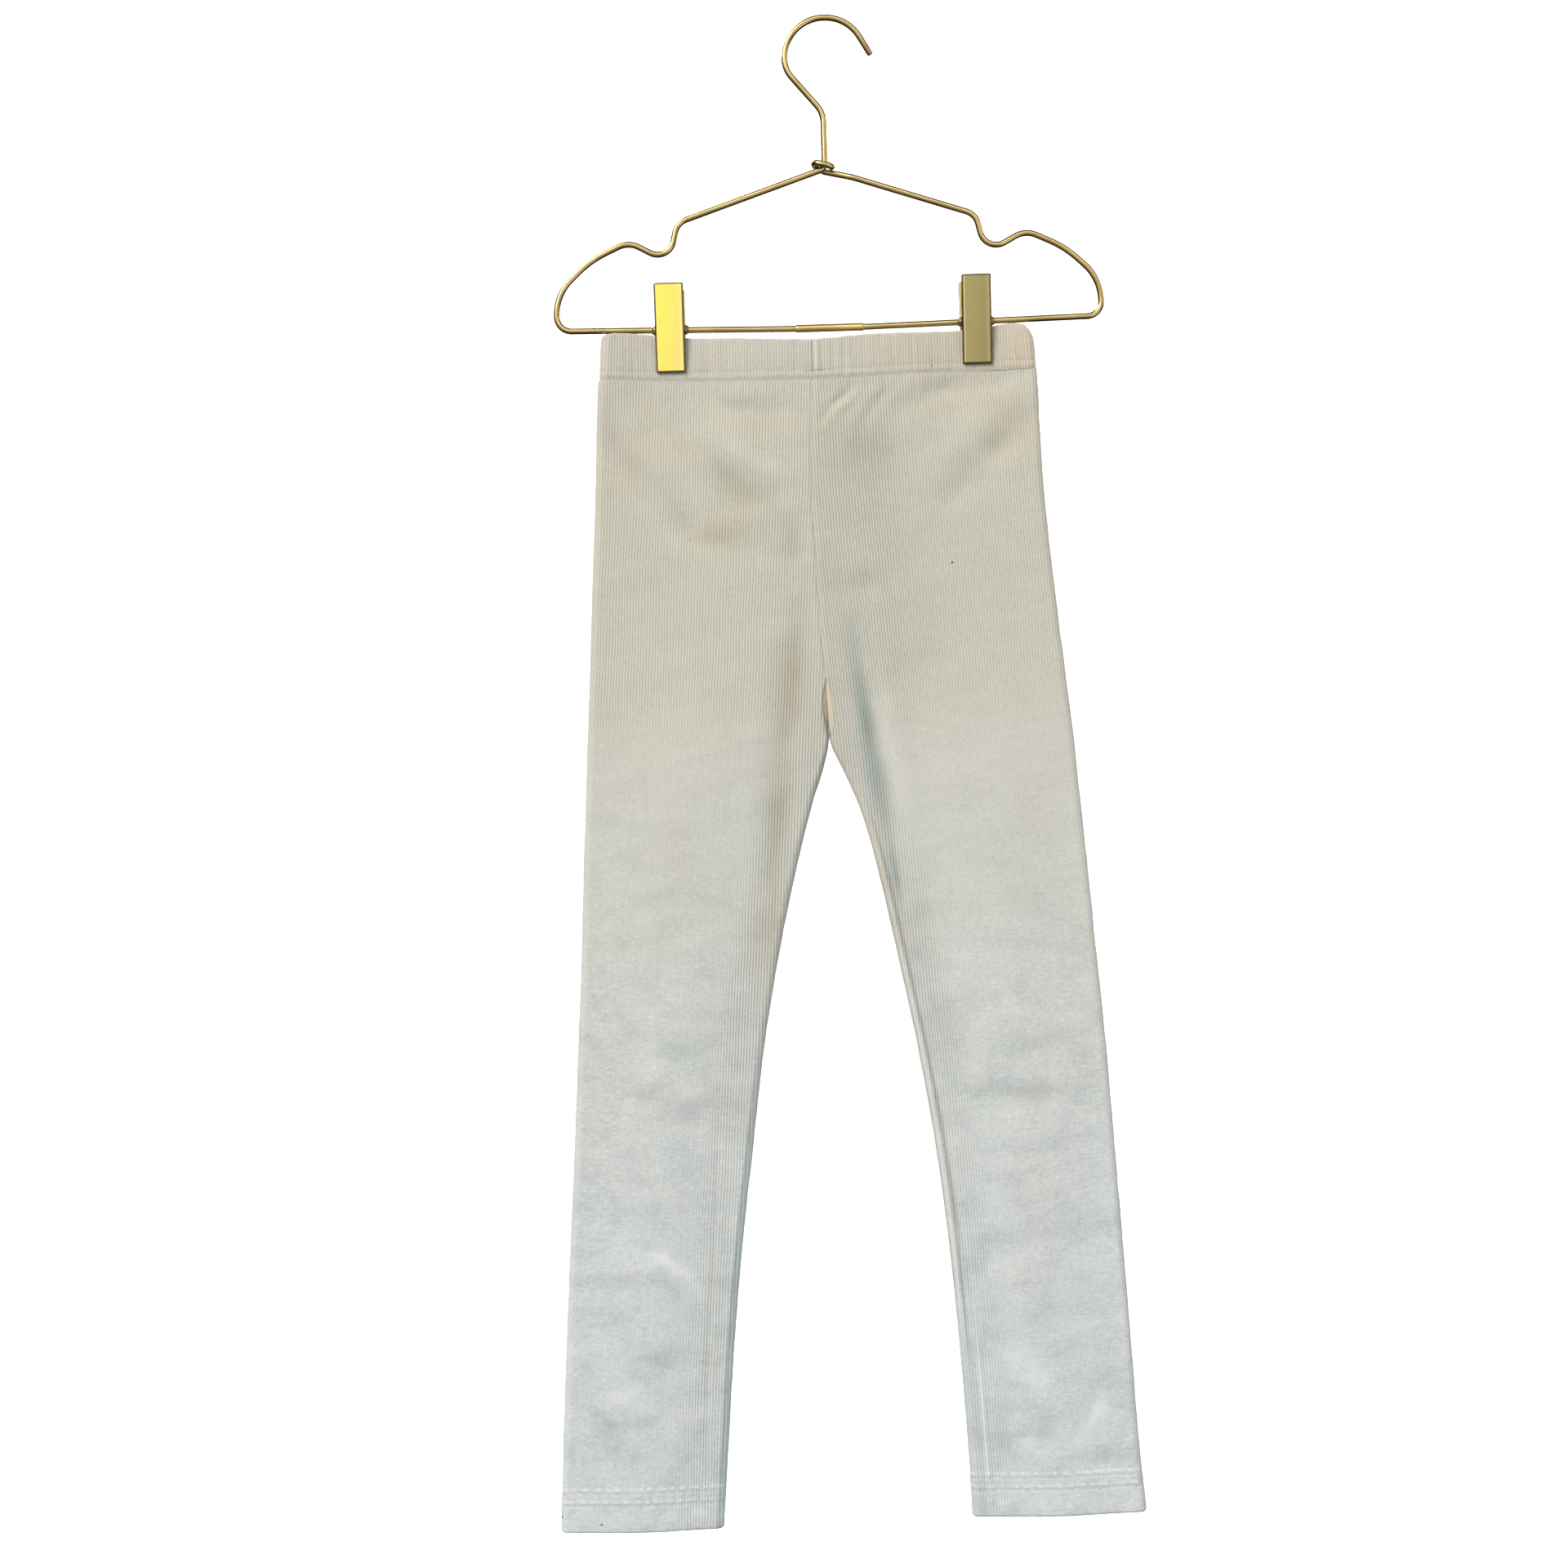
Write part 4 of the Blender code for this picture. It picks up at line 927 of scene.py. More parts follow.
# Soft bands of painted shade and painted warm or cool light: points as x and drop, half width, shade,
# warmth.
FRONT_BANDS = (
    (((-24.0, 330.0), (-28.0, 372.0), (-39.0, 444.0), (-46.4, 513.0), (-57.0, 590.0)), 9.0, 0.20, 0.55),
    (((4.0, 340.0), (8.0, 384.0), (13.5, 430.0), (20.5, 468.0), (28.0, 520.0)), 6.0, 0.26, -1.0),
    (((12.0, 350.0), (17.0, 384.0), (22.0, 410.0)), 1.2, 0.30, -0.3),
    (((24.0, 484.0), (28.0, 510.0), (32.0, 540.0)), 1.6, 0.40, -0.3),
    (((-79.0, 640.0), (-85.5, 731.7), (-90.3, 779.5), (-93.1, 858.0)), 2.4, 0.16, 0.40),
    (((-5.0, 428.0), (7.5, 462.0), (19.0, 506.0), (28.0, 548.0)), 3.4, 0.16, 0.55),
    (((-130.0, 214.0), (-98.0, 246.0), (-62.0, 277.0), (-24.0, 302.0)), 13.0, 0.26, 0.05),
    (((-100.0, 222.0), (-66.0, 250.0), (-34.0, 272.0)), 9.0, -0.28, 0.0),
    (((-134.0, 260.0), (-112.0, 284.0), (-84.0, 312.0)), 9.0, -0.26, 0.0),
    (((-141.6, 716.0), (-121.0, 719.5), (-103.0, 731.0), (-93.5, 748.0)), 3.6, -0.55, 0.0),
    (((-173.0, 729.0), (-139.0, 733.0), (-116.0, 738.0)), 3.4, 0.34, -0.1),
    (((-162.0, 801.0), (-121.0, 812.0), (-110.0, 832.0)), 4.6, -0.40, 0.0),
    (((-150.0, 842.0), (-128.0, 840.0)), 6.0, 0.30, -0.1),
    (((-176.0, 662.0), (-140.0, 690.0), (-112.0, 706.0)), 6.0, 0.20, -0.1),
    (((69.0, 776.0), (76.0, 781.0), (90.0, 787.0)), 3.6, -0.45, 0.0),
    (((76.0, 746.0), (90.0, 744.0), (104.0, 738.0)), 3.4, 0.34, -0.1),
    (((72.0, 834.0), (96.0, 831.0), (112.0, 834.0)), 3.4, 0.40, -0.1),
    (((120.0, 842.0), (133.0, 822.0), (143.0, 804.0)), 5.0, -0.40, 0.0),
    (((70.0, 722.0), (92.0, 716.0), (116.0, 712.0)), 5.0, -0.26, 0.0),
    (((36.0, 545.0), (41.0, 556.0)), 3.4, 0.20, -0.5),
    (((44.0, 572.0), (47.0, 584.0)), 3.4, 0.20, -0.5),
)
print("patches:", len(FRONT_PATCHES), "bands:", len(FRONT_BANDS))


# %% Shade of the legs
def painted_marks(side, x, drop, face, beside_seam):
    """Painted shade, painted warm or cool light and how far the ribs show, from patches, bands and the
    distance to the inner edge.
    """
    tone, hue = 0.0, 0.0
    for patch_x, patch_drop, wide, high, shade, warmth in FRONT_PATCHES:
        soft = bell(x - patch_x, wide) * bell(drop - patch_drop, high)
        tone, hue = tone + shade * soft, hue + warmth * soft
    for line, width, shade, warmth in FRONT_BANDS:
        soft = crease(x, drop, line, width, 1.0, 0.0)
        tone, hue = tone + shade * soft, hue + warmth * soft
    low = ease(drop, 560.0, 660.0)
    middle = ease(drop, 440.0, 520.0) * (1.0 - ease(drop, 740.0, 800.0))
    # Painted shade in the seam's groove above the fork.
    seam_shade = 0.18 * bell(beside_seam, 0.9) * (1.0 - ease(drop, 380.0, 390.0))
    if side < 0:
        # Left leg: painted shade in a dark line beside the rolled inner edge and at the edge, painted cool
        # light on the rolled strip.
        rolled = bell(beside_seam - 1.9, 1.3) * low
        tone = tone + 1.1 * bell(beside_seam - 3.8, 0.8) * low + 0.3 * bell(beside_seam, 0.7) * low
        tone = tone - 0.5 * rolled
        hue = hue - 1.3 * rolled
    else:
        # Right leg: painted shade on the strip by the inner edge and in dark lines beside it, painted light
        # between them, a painted highlight along the pressed ridge, and painted cool or warm light.
        rolled = 1.0 - ease(beside_seam, 8.0, 9.6)
        tone = tone + 0.22 * rolled * low * (1.0 - middle)
        for at, width, shade in ((0.4, 0.9, 1.1), (2.5, 1.0, -0.5), (4.8, 0.9, 1.4)):
            tone = tone + shade * bell(beside_seam - at, width) * middle
        pressed = bell(beside_seam - 10.4, 0.8) * ease(drop, 700.0, 800.0)
        tone = tone - 0.9 * pressed * (1.0 - ease(drop, 853.0, 858.0))
        hue = hue - 0.25 * rolled * low * (1.0 - middle) + 0.7 * bell(beside_seam - 0.8, 1.0) * middle
    # Painted shade on the seam line and painted light on the fuller strip beside it.
    tone = tone + seam_shade - 0.3 * bell(beside_seam - 2.2, 1.0) * (1.0 - ease(drop, 380.0, 390.0))
    beside_centre = 1.0 - ease(beside_seam, 36.0, 70.0)
    hip = (1.0 - ease(drop, 380.0, 440.0)) * (0.55 + (0.45 if side > 0 else 0.15) * beside_centre)
    inner = 1.0 - ease(beside_seam, 16.0, 34.0)
    ribs = np.clip(hip + inner * ease(drop, 360.0, 440.0) * (1.0 - 0.4 * low), 0.0, 1.0)
    front = face < 0
    return np.where(front, tone, 0.0), np.where(front, hue, 0.0), np.where(front, ribs, 0.5)


def hem_shade(side, x, above):
    """Painted shade of the stitched hem: dark dents at the two rows, painted light on the puckers above
    each, and a dark edge.
    """
    uneven = waves(41 + side, (x, above), (5.6, 26.0)) + 0.7 * waves(43 + side, (x, above), (2.6, 30.0))
    shade = 0.8 * bell(above, 0.8) - 0.24 * bell(above - 9.0, 5.0)
    for row in HEM_ROWS:
        shade = shade + (0.40 + 0.45 * uneven) * bell(above - row, 0.8)
        shade = shade - (0.55 + 0.55 * uneven) * bell(above - row - 2.2, 1.1)
    return shade + 0.14 * waves(47 + side, (x, above), (14.0, 12.0)) * (1.0 - ease(above, 22.0, 27.0))


# %% Make the legs
legs = {}
leg_data = {}
for leg_name, side, hem in (("left", -1, LEFT_HEM), ("right", 1, RIGHT_HEM)):
    data = leg_surface(side, hem, leg_rows(hem), LEG_COLUMNS)
    outer, inner, pattern, marks, closing_row = data
    piece = cloth_wall(f"leg_{leg_name}_cloth", outer, inner, pattern, marks, closing_row, LEG_KNIT)
    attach(piece, "root")
    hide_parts(f"leg_{leg_name}")
    legs[leg_name] = piece
    leg_data[leg_name] = data

# %% [markdown]
# ## The casing
# The waist is the same rib folded over a 25 mm elastic. The elastic is wider at rest than the cloth it
# gathers is long, so fine upright gathers stand in it, with a few larger ones beside the join in the
# middle of the front. Its section is carried round the waist: up the outside, over the fold, down inside.

# %% Casing form
CASING_COLUMNS = 640
OUTSIDE_ROWS = 34
FOLD_ROWS = 9
INSIDE_ROWS = 18
FOLD_RADIUS = CASING_WALL / 2
CASING_MIDDLE = 195.0
CASING_ROWS = (5.6, 0.6)
# Upright gathers beside the join: x, half width, height.
GATHERS = (
    (-13.6, 1.6, -0.30), (-10.2, 0.9, 0.22), (-8.6, 0.6, -0.38), (-5.2, 1.4, 0.12), (-1.2, 1.0, -0.16),
    (1.4, 1.2, 0.14), (4.6, 1.0, -0.12), (8.2, 1.6, 0.10), (11.6, 1.1, -0.08), (-19.0, 2.0, 0.08),
)


def casing_line():
    """The casing's middle line from the middle of the front round the ring, read at even steps."""
    level = np.array([[CASING_MIDDLE]])
    left = smooth(OUTER_EDGES["drop"], OUTER_EDGES["left"], level) + CASING_WALL / 2
    right = smooth(OUTER_EDGES["drop"], OUTER_EDGES["right"], level) - CASING_WALL / 2
    half = np.linspace(-math.pi / 2, math.pi / 2, EDGE_POINTS)
    flat = np.linspace(0.0, 1.0, 2 * FLAT_POINTS + 1)
    left_edge = left + EDGE_REACH
    right_edge = right - EDGE_REACH
    x = np.concatenate((
        left_edge + (right_edge - left_edge) * flat[FLAT_POINTS:-1],
        right_edge + EDGE_REACH * np.cos(half),
        right_edge + (left_edge - right_edge) * flat[1:-1],
        left_edge - EDGE_REACH * np.cos(half),
        left_edge + (right_edge - left_edge) * flat[1:FLAT_POINTS + 1],
    ), axis=1)
    front, back = -np.ones(FLAT_POINTS), np.ones(2 * FLAT_POINTS - 1)
    face = np.concatenate((front, np.sin(half), back, -np.sin(half), front))
    y = face[None, :] * waist_half_depth(x)
    x, y, face = spread_along(x, y, CASING_COLUMNS, face[None, :])
    return x[0], y[0], face[0]


def casing_surface():
    """Grid of the casing: rows go once round its section, columns go round the waist."""
    x, y, face = casing_line()
    square_x, square_y = outward(x[None, :], y[None, :], np.array([True]))
    square_x, square_y = square_x[0], square_y[0]
    walked = np.concatenate(([0.0], np.cumsum(np.hypot(np.diff(x), np.diff(y)))))
    outer_x = x + square_x * FOLD_RADIUS
    top = smooth(CASING_TOP["x"], CASING_TOP["drop"], outer_x) + 0.12 * waves(91, (walked,), (14.0,))
    bottom = seam_level(x)
    height = bottom - top
    up = np.linspace(1.0, 0.0, OUTSIDE_ROWS)
    over = np.linspace(0.0, math.pi, FOLD_ROWS + 2)[1:-1]
    down = np.linspace(0.0, 1.0, INSIDE_ROWS)
    offset = np.concatenate((np.ones_like(up), np.cos(over), -np.ones_like(down)))[:, None]
    share = np.concatenate((up, np.zeros_like(over), down))[:, None]
    arch = np.concatenate((np.zeros_like(up), np.sin(over), np.zeros_like(down)))[:, None]
    drop = top + FOLD_RADIUS * (1.0 - arch) + share * (height - FOLD_RADIUS)
    above = bottom - drop

    clear = np.ones_like(x)
    for place in CLIP_PLACES.values():
        beside = np.maximum(np.abs(x - place) - PLATE_WIDTH / 2, 0.0)
        clear = clear * (1.0 - bell(beside, 5.0))
    gather = 0.12 * waves(101, (walked, drop), (5.0, 160.0))
    gather = gather + 0.15 * waves(111, (walked, drop), (13.0, 90.0))
    gather = gather + 0.16 * waves(121, (walked, drop), (34.0, 44.0))
    for gather_x, width, tall in GATHERS:
        lean = gather_x + (drop - 196.0) * 0.03
        gather = gather + np.where(face < 0, tall, 0.4 * tall) * bell(x - lean, width)
    on_body = ease(above, 0.0, 3.0) * (0.55 + 0.45 * ease(drop - top, 0.0, 5.0))
    stitched = sum(bell(above - row, 0.8) for row in CASING_ROWS)
    lower = 0.5 * (1.0 - ease(above, 0.0, 2.2))
    swell = 0.25 * np.sin(math.pi * np.clip((drop - top) / (height - CASING_ROWS[0]), 0.0, 1.0))
    relief = (gather * on_body - 0.2 * stitched + swell) * clear - lower
    out = np.where(offset > 0, relief, 0.0)
    reach = offset * FOLD_RADIUS + out * np.maximum(offset, 0.0)
    z = -drop
    slant = 0.08 * (drop - 198.0) * np.sign(x) * ease(np.abs(x + 10.0), 108.0, 126.0)
    grid = np.stack([x + slant + square_x * reach, y + square_y * reach, z + 0.0 * reach], axis=2)
    pattern = np.stack([walked + 0.0 * z, drop + 0.0 * z], axis=2)
    # Painted shade in the stitched dents, the gathers' troughs and at the lower edge, and painted light on
    # the gathers' ridges.
    tone = 0.2 * stitched - 0.7 * np.clip(gather, -1.0, 0.8) * on_body + 0.1 * bell(above, 1.0)
    marks = {"tone": tone, "hue": 0.0 * tone, "ribs": 0.0 * tone + 0.75}
    return grid, pattern, marks


def ring_surface(name, grid, pattern, marks, material):
    """A mesh from a grid that closes on itself both ways."""
    rows, columns = grid.shape[:2]
    index = np.arange(rows * columns).reshape(rows, columns)
    quads = squares(wrapped(index, 0))
    points = grid.reshape(-1, 3)
    if volume_sign(points, [quads]) < 0:
        quads = quads[:, ::-1]
    remap = np.arange(rows * columns)
    remap[index[:, -1]] = index[:, 0]
    maps = {"OFBake": bake_grid(rows, columns, 0.01, 0.99, 0.95), "pattern": pattern.reshape(-1, 2)}
    return raise_mesh(name, (points, remap), [quads], maps, marks, material)


# %% Make the casing
casing_grid, casing_pattern, casing_marks = casing_surface()
casing = ring_surface("casing_cloth", casing_grid, casing_pattern, casing_marks, CASING_KNIT)
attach(casing, "root")
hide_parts("waistband")

# %% [markdown]
# ## Stitches
# The hems and the casing are held by two rows of stitches with a needle's width between them, and a
# short bar of close stitches ties down the join of the elastic. Each stitch is one small spindle that
# lies half sunk in the cloth. All the spindles of a row are one mesh.


# %% Thread material
def thread_paint():
    """Twisted thread: fine slanting stripes along each stitch, a shade warmer than the cloth."""
    paint = Paint("ivory_thread", {"Sheen Weight": 0.1, "Specular IOR Level": 0.35})
    place = paint.place()
    twist = paint.node(
        "ShaderNodeTexWave", {"wave_type": "BANDS", "bands_direction": "DIAGONAL"},
        {"Vector": place, "Scale": 900.0, "Distortion": 1.5},
    )
    fuzz = paint.noise(place, 1800.0)
    colour = paint.mix(twist * 0.5 + fuzz * 0.3, (0.58, 0.59, 0.57), (0.68, 0.69, 0.67))
    return paint.done(colour, 0.6 + fuzz * 0.2, twist + fuzz, 0.00006)


THREAD = thread_paint()


# %% Rows of stitches
def stitches(name, centres, alongs, outs, long, thick, material):
    """Spindles at given centres: rings of six points whose radius follows a half sine."""
    turns = np.linspace(0.0, 2 * math.pi, 6, endpoint=False)
    share = np.array([0.0, 0.16, 0.5, 0.84, 1.0])
    radius = thick / 2 * np.array([0.25, 0.8, 1.0, 0.8, 0.25])
    along = alongs / np.linalg.norm(alongs, axis=1, keepdims=True)
    out = outs / np.linalg.norm(outs, axis=1, keepdims=True)
    side = np.cross(along, out)
    spine = centres[:, None, :] + along[:, None, :] * ((share - 0.5) * long)[None, :, None]
    ring = (
        out[:, None, None, :] * np.cos(turns)[None, None, :, None]
        + side[:, None, None, :] * np.sin(turns)[None, None, :, None]
    )
    points = spine[:, :, None, :] + ring * radius[None, :, None, None]
    count, rings, sides = points.shape[:3]
    index = np.arange(count * rings * sides).reshape(count, rings, sides)
    ahead = np.roll(index, -1, axis=2)
    quads = np.stack([index[:, :-1], ahead[:, :-1], ahead[:, 1:], index[:, 1:]], axis=3)
    one_spindle = [quads[0].reshape(-1, 4), np.stack([index[0, 0], index[0, -1, ::-1]])]
    groups = [quads.reshape(-1, 4), np.concatenate([index[:, 0], index[:, -1, ::-1]])]
    if volume_sign(points[0].reshape(-1, 3), one_spindle) < 0:
        groups = [group[:, ::-1] for group in groups]
    made = raise_mesh(name, points.reshape(-1, 3), groups, {}, None, material)
    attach(made, "root")
    return made


def along_row(line, normals, pitch):
    """Centres at even steps along a closed row of points, with directions along and out of the cloth."""
    step = np.linalg.norm(np.diff(line, axis=0), axis=1)
    walked = np.concatenate(([0.0], np.cumsum(step)))
    at = np.arange(pitch / 2, walked[-1] - pitch / 4, pitch)
    centres = np.stack([np.interp(at, walked, line[:, axis]) for axis in range(3)], axis=1)
    ahead = np.stack([np.interp(at + 0.3, walked, line[:, axis]) for axis in range(3)], axis=1)
    outs = np.stack([np.interp(at, walked, normals[:, axis]) for axis in range(3)], axis=1)
    return centres, ahead - centres, outs


def row_normals(line):
    """Directions out of a closed row that runs level: square to it, away from its middle."""
    along = np.gradient(line, axis=0)
    out = np.stack([along[:, 1], -along[:, 0], np.zeros(len(line))], axis=1)
    away = line - line.mean(axis=0)
    out = out * np.sign(np.sum(out[:, :2] * away[:, :2]))
    return out / np.linalg.norm(out, axis=1, keepdims=True)


STITCH_PITCH = 2.7
STITCH_LENGTH = 2.2
THREAD_THICK = 0.42
for leg_name, side, hem in (("left", -1, LEFT_HEM), ("right", 1, RIGHT_HEM)):
    found = []
    for above in HEM_ROWS:
        levels = np.array([CROTCH, hem - above, hem])
        line = leg_surface(side, hem, levels, LEG_COLUMNS)[0][1]
        found.append(along_row(line, row_normals(line), STITCH_PITCH))
    centres, alongs, outs = (np.concatenate(parts) for parts in zip(*found))
    centres = centres + outs * 0.06
    stitches(
        f"hem_stitches_{leg_name}", centres, alongs, outs, STITCH_LENGTH, THREAD_THICK, THREAD
    )


# %% Casing stitches
def casing_row(above):
    """The casing's outer surface at a height above its lower edge, as a closed row of points.

    The grid's outside rows rise in even steps, so each column is read between two neighbouring rows.
    """
    outside = casing_grid[:OUTSIDE_ROWS]
    rise = (outside[-1, :, 2] - outside[0, :, 2]) / (OUTSIDE_ROWS - 1)
    below = (above / rise).astype(int)
    share = (above / rise - below)[:, None]
    columns = np.arange(outside.shape[1])
    return outside[below, columns] * (1.0 - share) + outside[below + 1, columns] * share


found = []
for above in CASING_ROWS:
    line = casing_row(above)
    found.append(along_row(line, row_normals(line), STITCH_PITCH))
centres, alongs, outs = (np.concatenate(parts) for parts in zip(*found))
under_plate = np.zeros(len(centres), dtype=bool)
for place in CLIP_PLACES.values():
    under_plate |= np.abs(centres[:, 0] - place) < PLATE_WIDTH / 2 + 0.5
keep = ~under_plate
casing_thread = stitches(
    "casing_stitches", centres[keep] + outs[keep] * 0.05, alongs[keep], outs[keep],
    STITCH_LENGTH, THREAD_THICK, THREAD,
)

# %% Bar tack
tack_levels = np.linspace(-206.6, -200.6, 9)
crossing = [(x, 0.0, z) for z in tack_levels[::4] for x in (-16.8, -14.4, -12.0)]
upright = [(-18.0, 0.0, z) for z in tack_levels[::2]]
tack_centres = np.array(crossing + upright)
tack_alongs = np.array([(1.0, 0.0, 0.0)] * len(crossing) + [(0.0, 0.0, 1.0)] * len(upright))
tack_outs = np.array([(0.0, -1.0, 0.0)] * len(tack_centres))
front_row = casing_row(3.0)
front_row = front_row[front_row[:, 1] < 0]
front_row = front_row[np.argsort(front_row[:, 0])]
tack_centres[:, 1] = np.interp(tack_centres[:, 0], front_row[:, 0], front_row[:, 1]) - 0.05
bar_thread = stitches("bar_tack", tack_centres, tack_alongs, tack_outs, 2.3, 0.5, THREAD)

# %% [markdown]
# ## The hanger
# The hanger is two bent brass-plated wires. The left one makes the hook, the stem and its shoulder. The
# right one starts with a turn round the stem. Each is a circle carried along a line that is bent round
# its corners, which is how the wire is made. A plain curve object would need its bends set by eye.

# %% Hanger tables
WIRE_RADIUS = 1.8
HANGER_AXIS = -2.6
BAR_LEVEL = 180.7
HOOK_CORNERS = (
    (26.3, 21.0, 0.0), (12.9, -1.6, 23.4), (-24.4, -1.6, 23.4), (-24.4, 28.3, 16.0),
    (-2.6, 54.3, 16.0), (-2.6, 87.1, 5.0),
)
SHOULDER_CORNERS = (
    (87.7, 116.5, 10.0), (93.2, 139.6, 9.5), (116.6, 126.8, 14.0), (139.6, 137.3, 60.0),
    (160.0, 156.6, 29.0), (160.0, 178.2, 8.5), (24.0, BAR_LEVEL, 40.0), (1.0, BAR_LEVEL, 0.0),
)
WRAP_LEVELS = {"angle": (20, 90, 170, 225, 275), "drop": (87.2, 85.6, 84.2, 85.6, 88.0)}
WRAP_CENTRE = -3.2
WRAP_ACROSS = 5.6
WRAP_DEEP = 3.55
WRAP_EXIT = (13.4, 92.7, 20.0)


# %% Bent wire
def bent_route(corners, step=math.radians(4.0)):
    """Points along a wire bent round corners, each given as x, y, drop and bend radius."""
    points = [np.array(corners[0][:3], dtype=float)]
    for before, corner, after in zip(corners, corners[1:], corners[2:]):
        here = np.array(corner[:3], dtype=float)
        back = np.array(before[:3]) - here
        ahead = np.array(after[:3]) - here
        back = back / np.linalg.norm(back)
        ahead = ahead / np.linalg.norm(ahead)
        turn = math.pi - math.acos(float(np.clip(back @ ahead, -1.0, 1.0)))
        radius = corner[3]
        start = here + back * radius * math.tan(turn / 2)
        to_centre = (back + ahead) / np.linalg.norm(back + ahead)
        centre = here + to_centre * radius / math.cos(turn / 2)
        across = (start - centre) / radius
        steps = max(3, math.ceil(turn / step))
        for count in range(steps + 1):
            angle = turn * count / steps
            points.append(centre + radius * (across * math.cos(angle) - back * math.sin(angle)))
    points.append(np.array(corners[-1][:3], dtype=float))
    return points


def tube(route, radius, sides=20, rounding=0.5):
    """A circle carried along a route of x, y, drop, its frame turned as little as possible.

    Both ends close over a rounded edge. Returns points and face groups.
    """
    line = np.array(route, dtype=float) * (1.0, 1.0, -1.0)
    start = line[0] + (line[1] - line[0]) / np.linalg.norm(line[1] - line[0]) * rounding
    end = line[-1] + (line[-2] - line[-1]) / np.linalg.norm(line[-2] - line[-1]) * rounding
    near_start, near_end = line[:1] * 0.7 + start * 0.3, line[-1:] * 0.7 + end * 0.3
    line = np.concatenate((line[:1], near_start, [start], line[1:-1], [end], near_end, line[-1:]))
    scale = np.ones(len(line))
    scale[:3] = (0.55, 0.82, 1.0)
    scale[-3:] = (1.0, 0.82, 0.55)
    along = np.gradient(line, axis=0)
    along /= np.linalg.norm(along, axis=1, keepdims=True)
    up = np.empty_like(line)
    first = np.array([0.0, 1.0, 0.0])
    first = first - along[0] * (first @ along[0])
    up[0] = first / np.linalg.norm(first)
    for here in range(1, len(line)):
        carried = up[here - 1] - along[here] * (up[here - 1] @ along[here])
        up[here] = carried / np.linalg.norm(carried)
    side = np.cross(along, up)
    angles = np.linspace(0.0, 2 * math.pi, sides, endpoint=False)
    ring = up[:, None, :] * np.cos(angles)[None, :, None] + side[:, None, :] * np.sin(angles)[None, :, None]
    points = line[:, None, :] + ring * (radius * scale)[:, None, None]
    return capped(points.reshape(-1, 3), len(line))


def metal_piece(name, parts, material, slot_name, *nodes):
    """Joins parts, each points and face groups, into one rigid piece that stands for CAD nodes."""
    cloud, groups, count = [], [], 0
    for points, part_groups in parts:
        groups += [group + count for group in part_groups]
        cloud.append(points)
        count += len(points)
    made = raise_mesh(name, np.concatenate(cloud), groups, {}, None, material)
    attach(made, "root")
    if nodes:
        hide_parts(*nodes)


# %% [markdown]
# ## Brass
# The metal is steel with a satin brass finish. It shows fine drawing lines, and patches of a darker,
# browner tone where hands have worn it.


# %% Brass material
def brass(name, bright, dull, roughness, lines):
    """Satin brass: colour wanders between two tones, roughness and bump follow fine drawn lines."""
    paint = Paint(name, {"Metallic": 1.0, "Coat Weight": 0.06, "Coat Roughness": 0.25})
    place = paint.place()
    wear = paint.noise(place, 45.0, 4.0)
    grain = paint.noise(paint.stretched(place, lines), 1.0, 3.0)
    fine = paint.noise(place, 1400.0, 2.0)
    colour = paint.mix(paint.between(wear, 0.35, 0.65), bright, dull)
    colour = paint.tint(paint.between(fine, 0.55, 0.8) * 0.4, colour, (0.82, 0.78, 0.70))
    return paint.done(colour, roughness + grain * 0.12 + wear * 0.05, grain + fine * 0.5, 0.000012)


EVEN = (600.0, 600.0, 600.0)
EVEN_COARSE = (500.0, 500.0, 500.0)
ALONG_BAR = (60.0, 900.0, 900.0)
UPRIGHT = (900.0, 900.0, 40.0)
WIRE_BRASS = brass("satin_brass_wire", (0.43, 0.33, 0.135), (0.34, 0.26, 0.105), 0.18, EVEN)
SLEEVE_BRASS = brass("satin_brass_sleeve", (0.55, 0.41, 0.16), (0.42, 0.30, 0.11), 0.30, ALONG_BAR)
SPRING_BRASS = brass("spring_brass", (0.34, 0.26, 0.11), (0.22, 0.17, 0.08), 0.34, EVEN_COARSE)
BACK_BRASS = brass("back_plate_brass", (0.32, 0.25, 0.10), (0.24, 0.19, 0.08), 0.30, UPRIGHT)
print("brass:", WIRE_BRASS.name, SLEEVE_BRASS.name, SPRING_BRASS.name, BACK_BRASS.name)


# %% Make the wires
def shoulder(side):
    return [(HANGER_AXIS + side * out, 0.0, drop, radius) for out, drop, radius in SHOULDER_CORNERS]


left_route = bent_route([(x, 0.0, drop, radius) for x, drop, radius in HOOK_CORNERS] + shoulder(-1))
angles = np.linspace(WRAP_LEVELS["angle"][0], WRAP_LEVELS["angle"][-1], 70)
wrap = np.stack([
    WRAP_CENTRE + WRAP_ACROSS * np.cos(np.radians(angles)),
    -WRAP_DEEP * np.sin(np.radians(angles)),
    smooth(WRAP_LEVELS["angle"], WRAP_LEVELS["drop"], angles),
], axis=1)
leaving = (*wrap[-1], 0.0)
right_route = list(wrap[:-1]) + bent_route([leaving, (WRAP_EXIT[0], 0.0, *WRAP_EXIT[1:])] + shoulder(1))
metal_piece("wire_left", [tube(left_route, WIRE_RADIUS)], WIRE_BRASS, "wire_brass", "hanger_wire_left")
metal_piece("wire_right", [tube(right_route, WIRE_RADIUS)], WIRE_BRASS, "wire_brass", "hanger_wire_right")


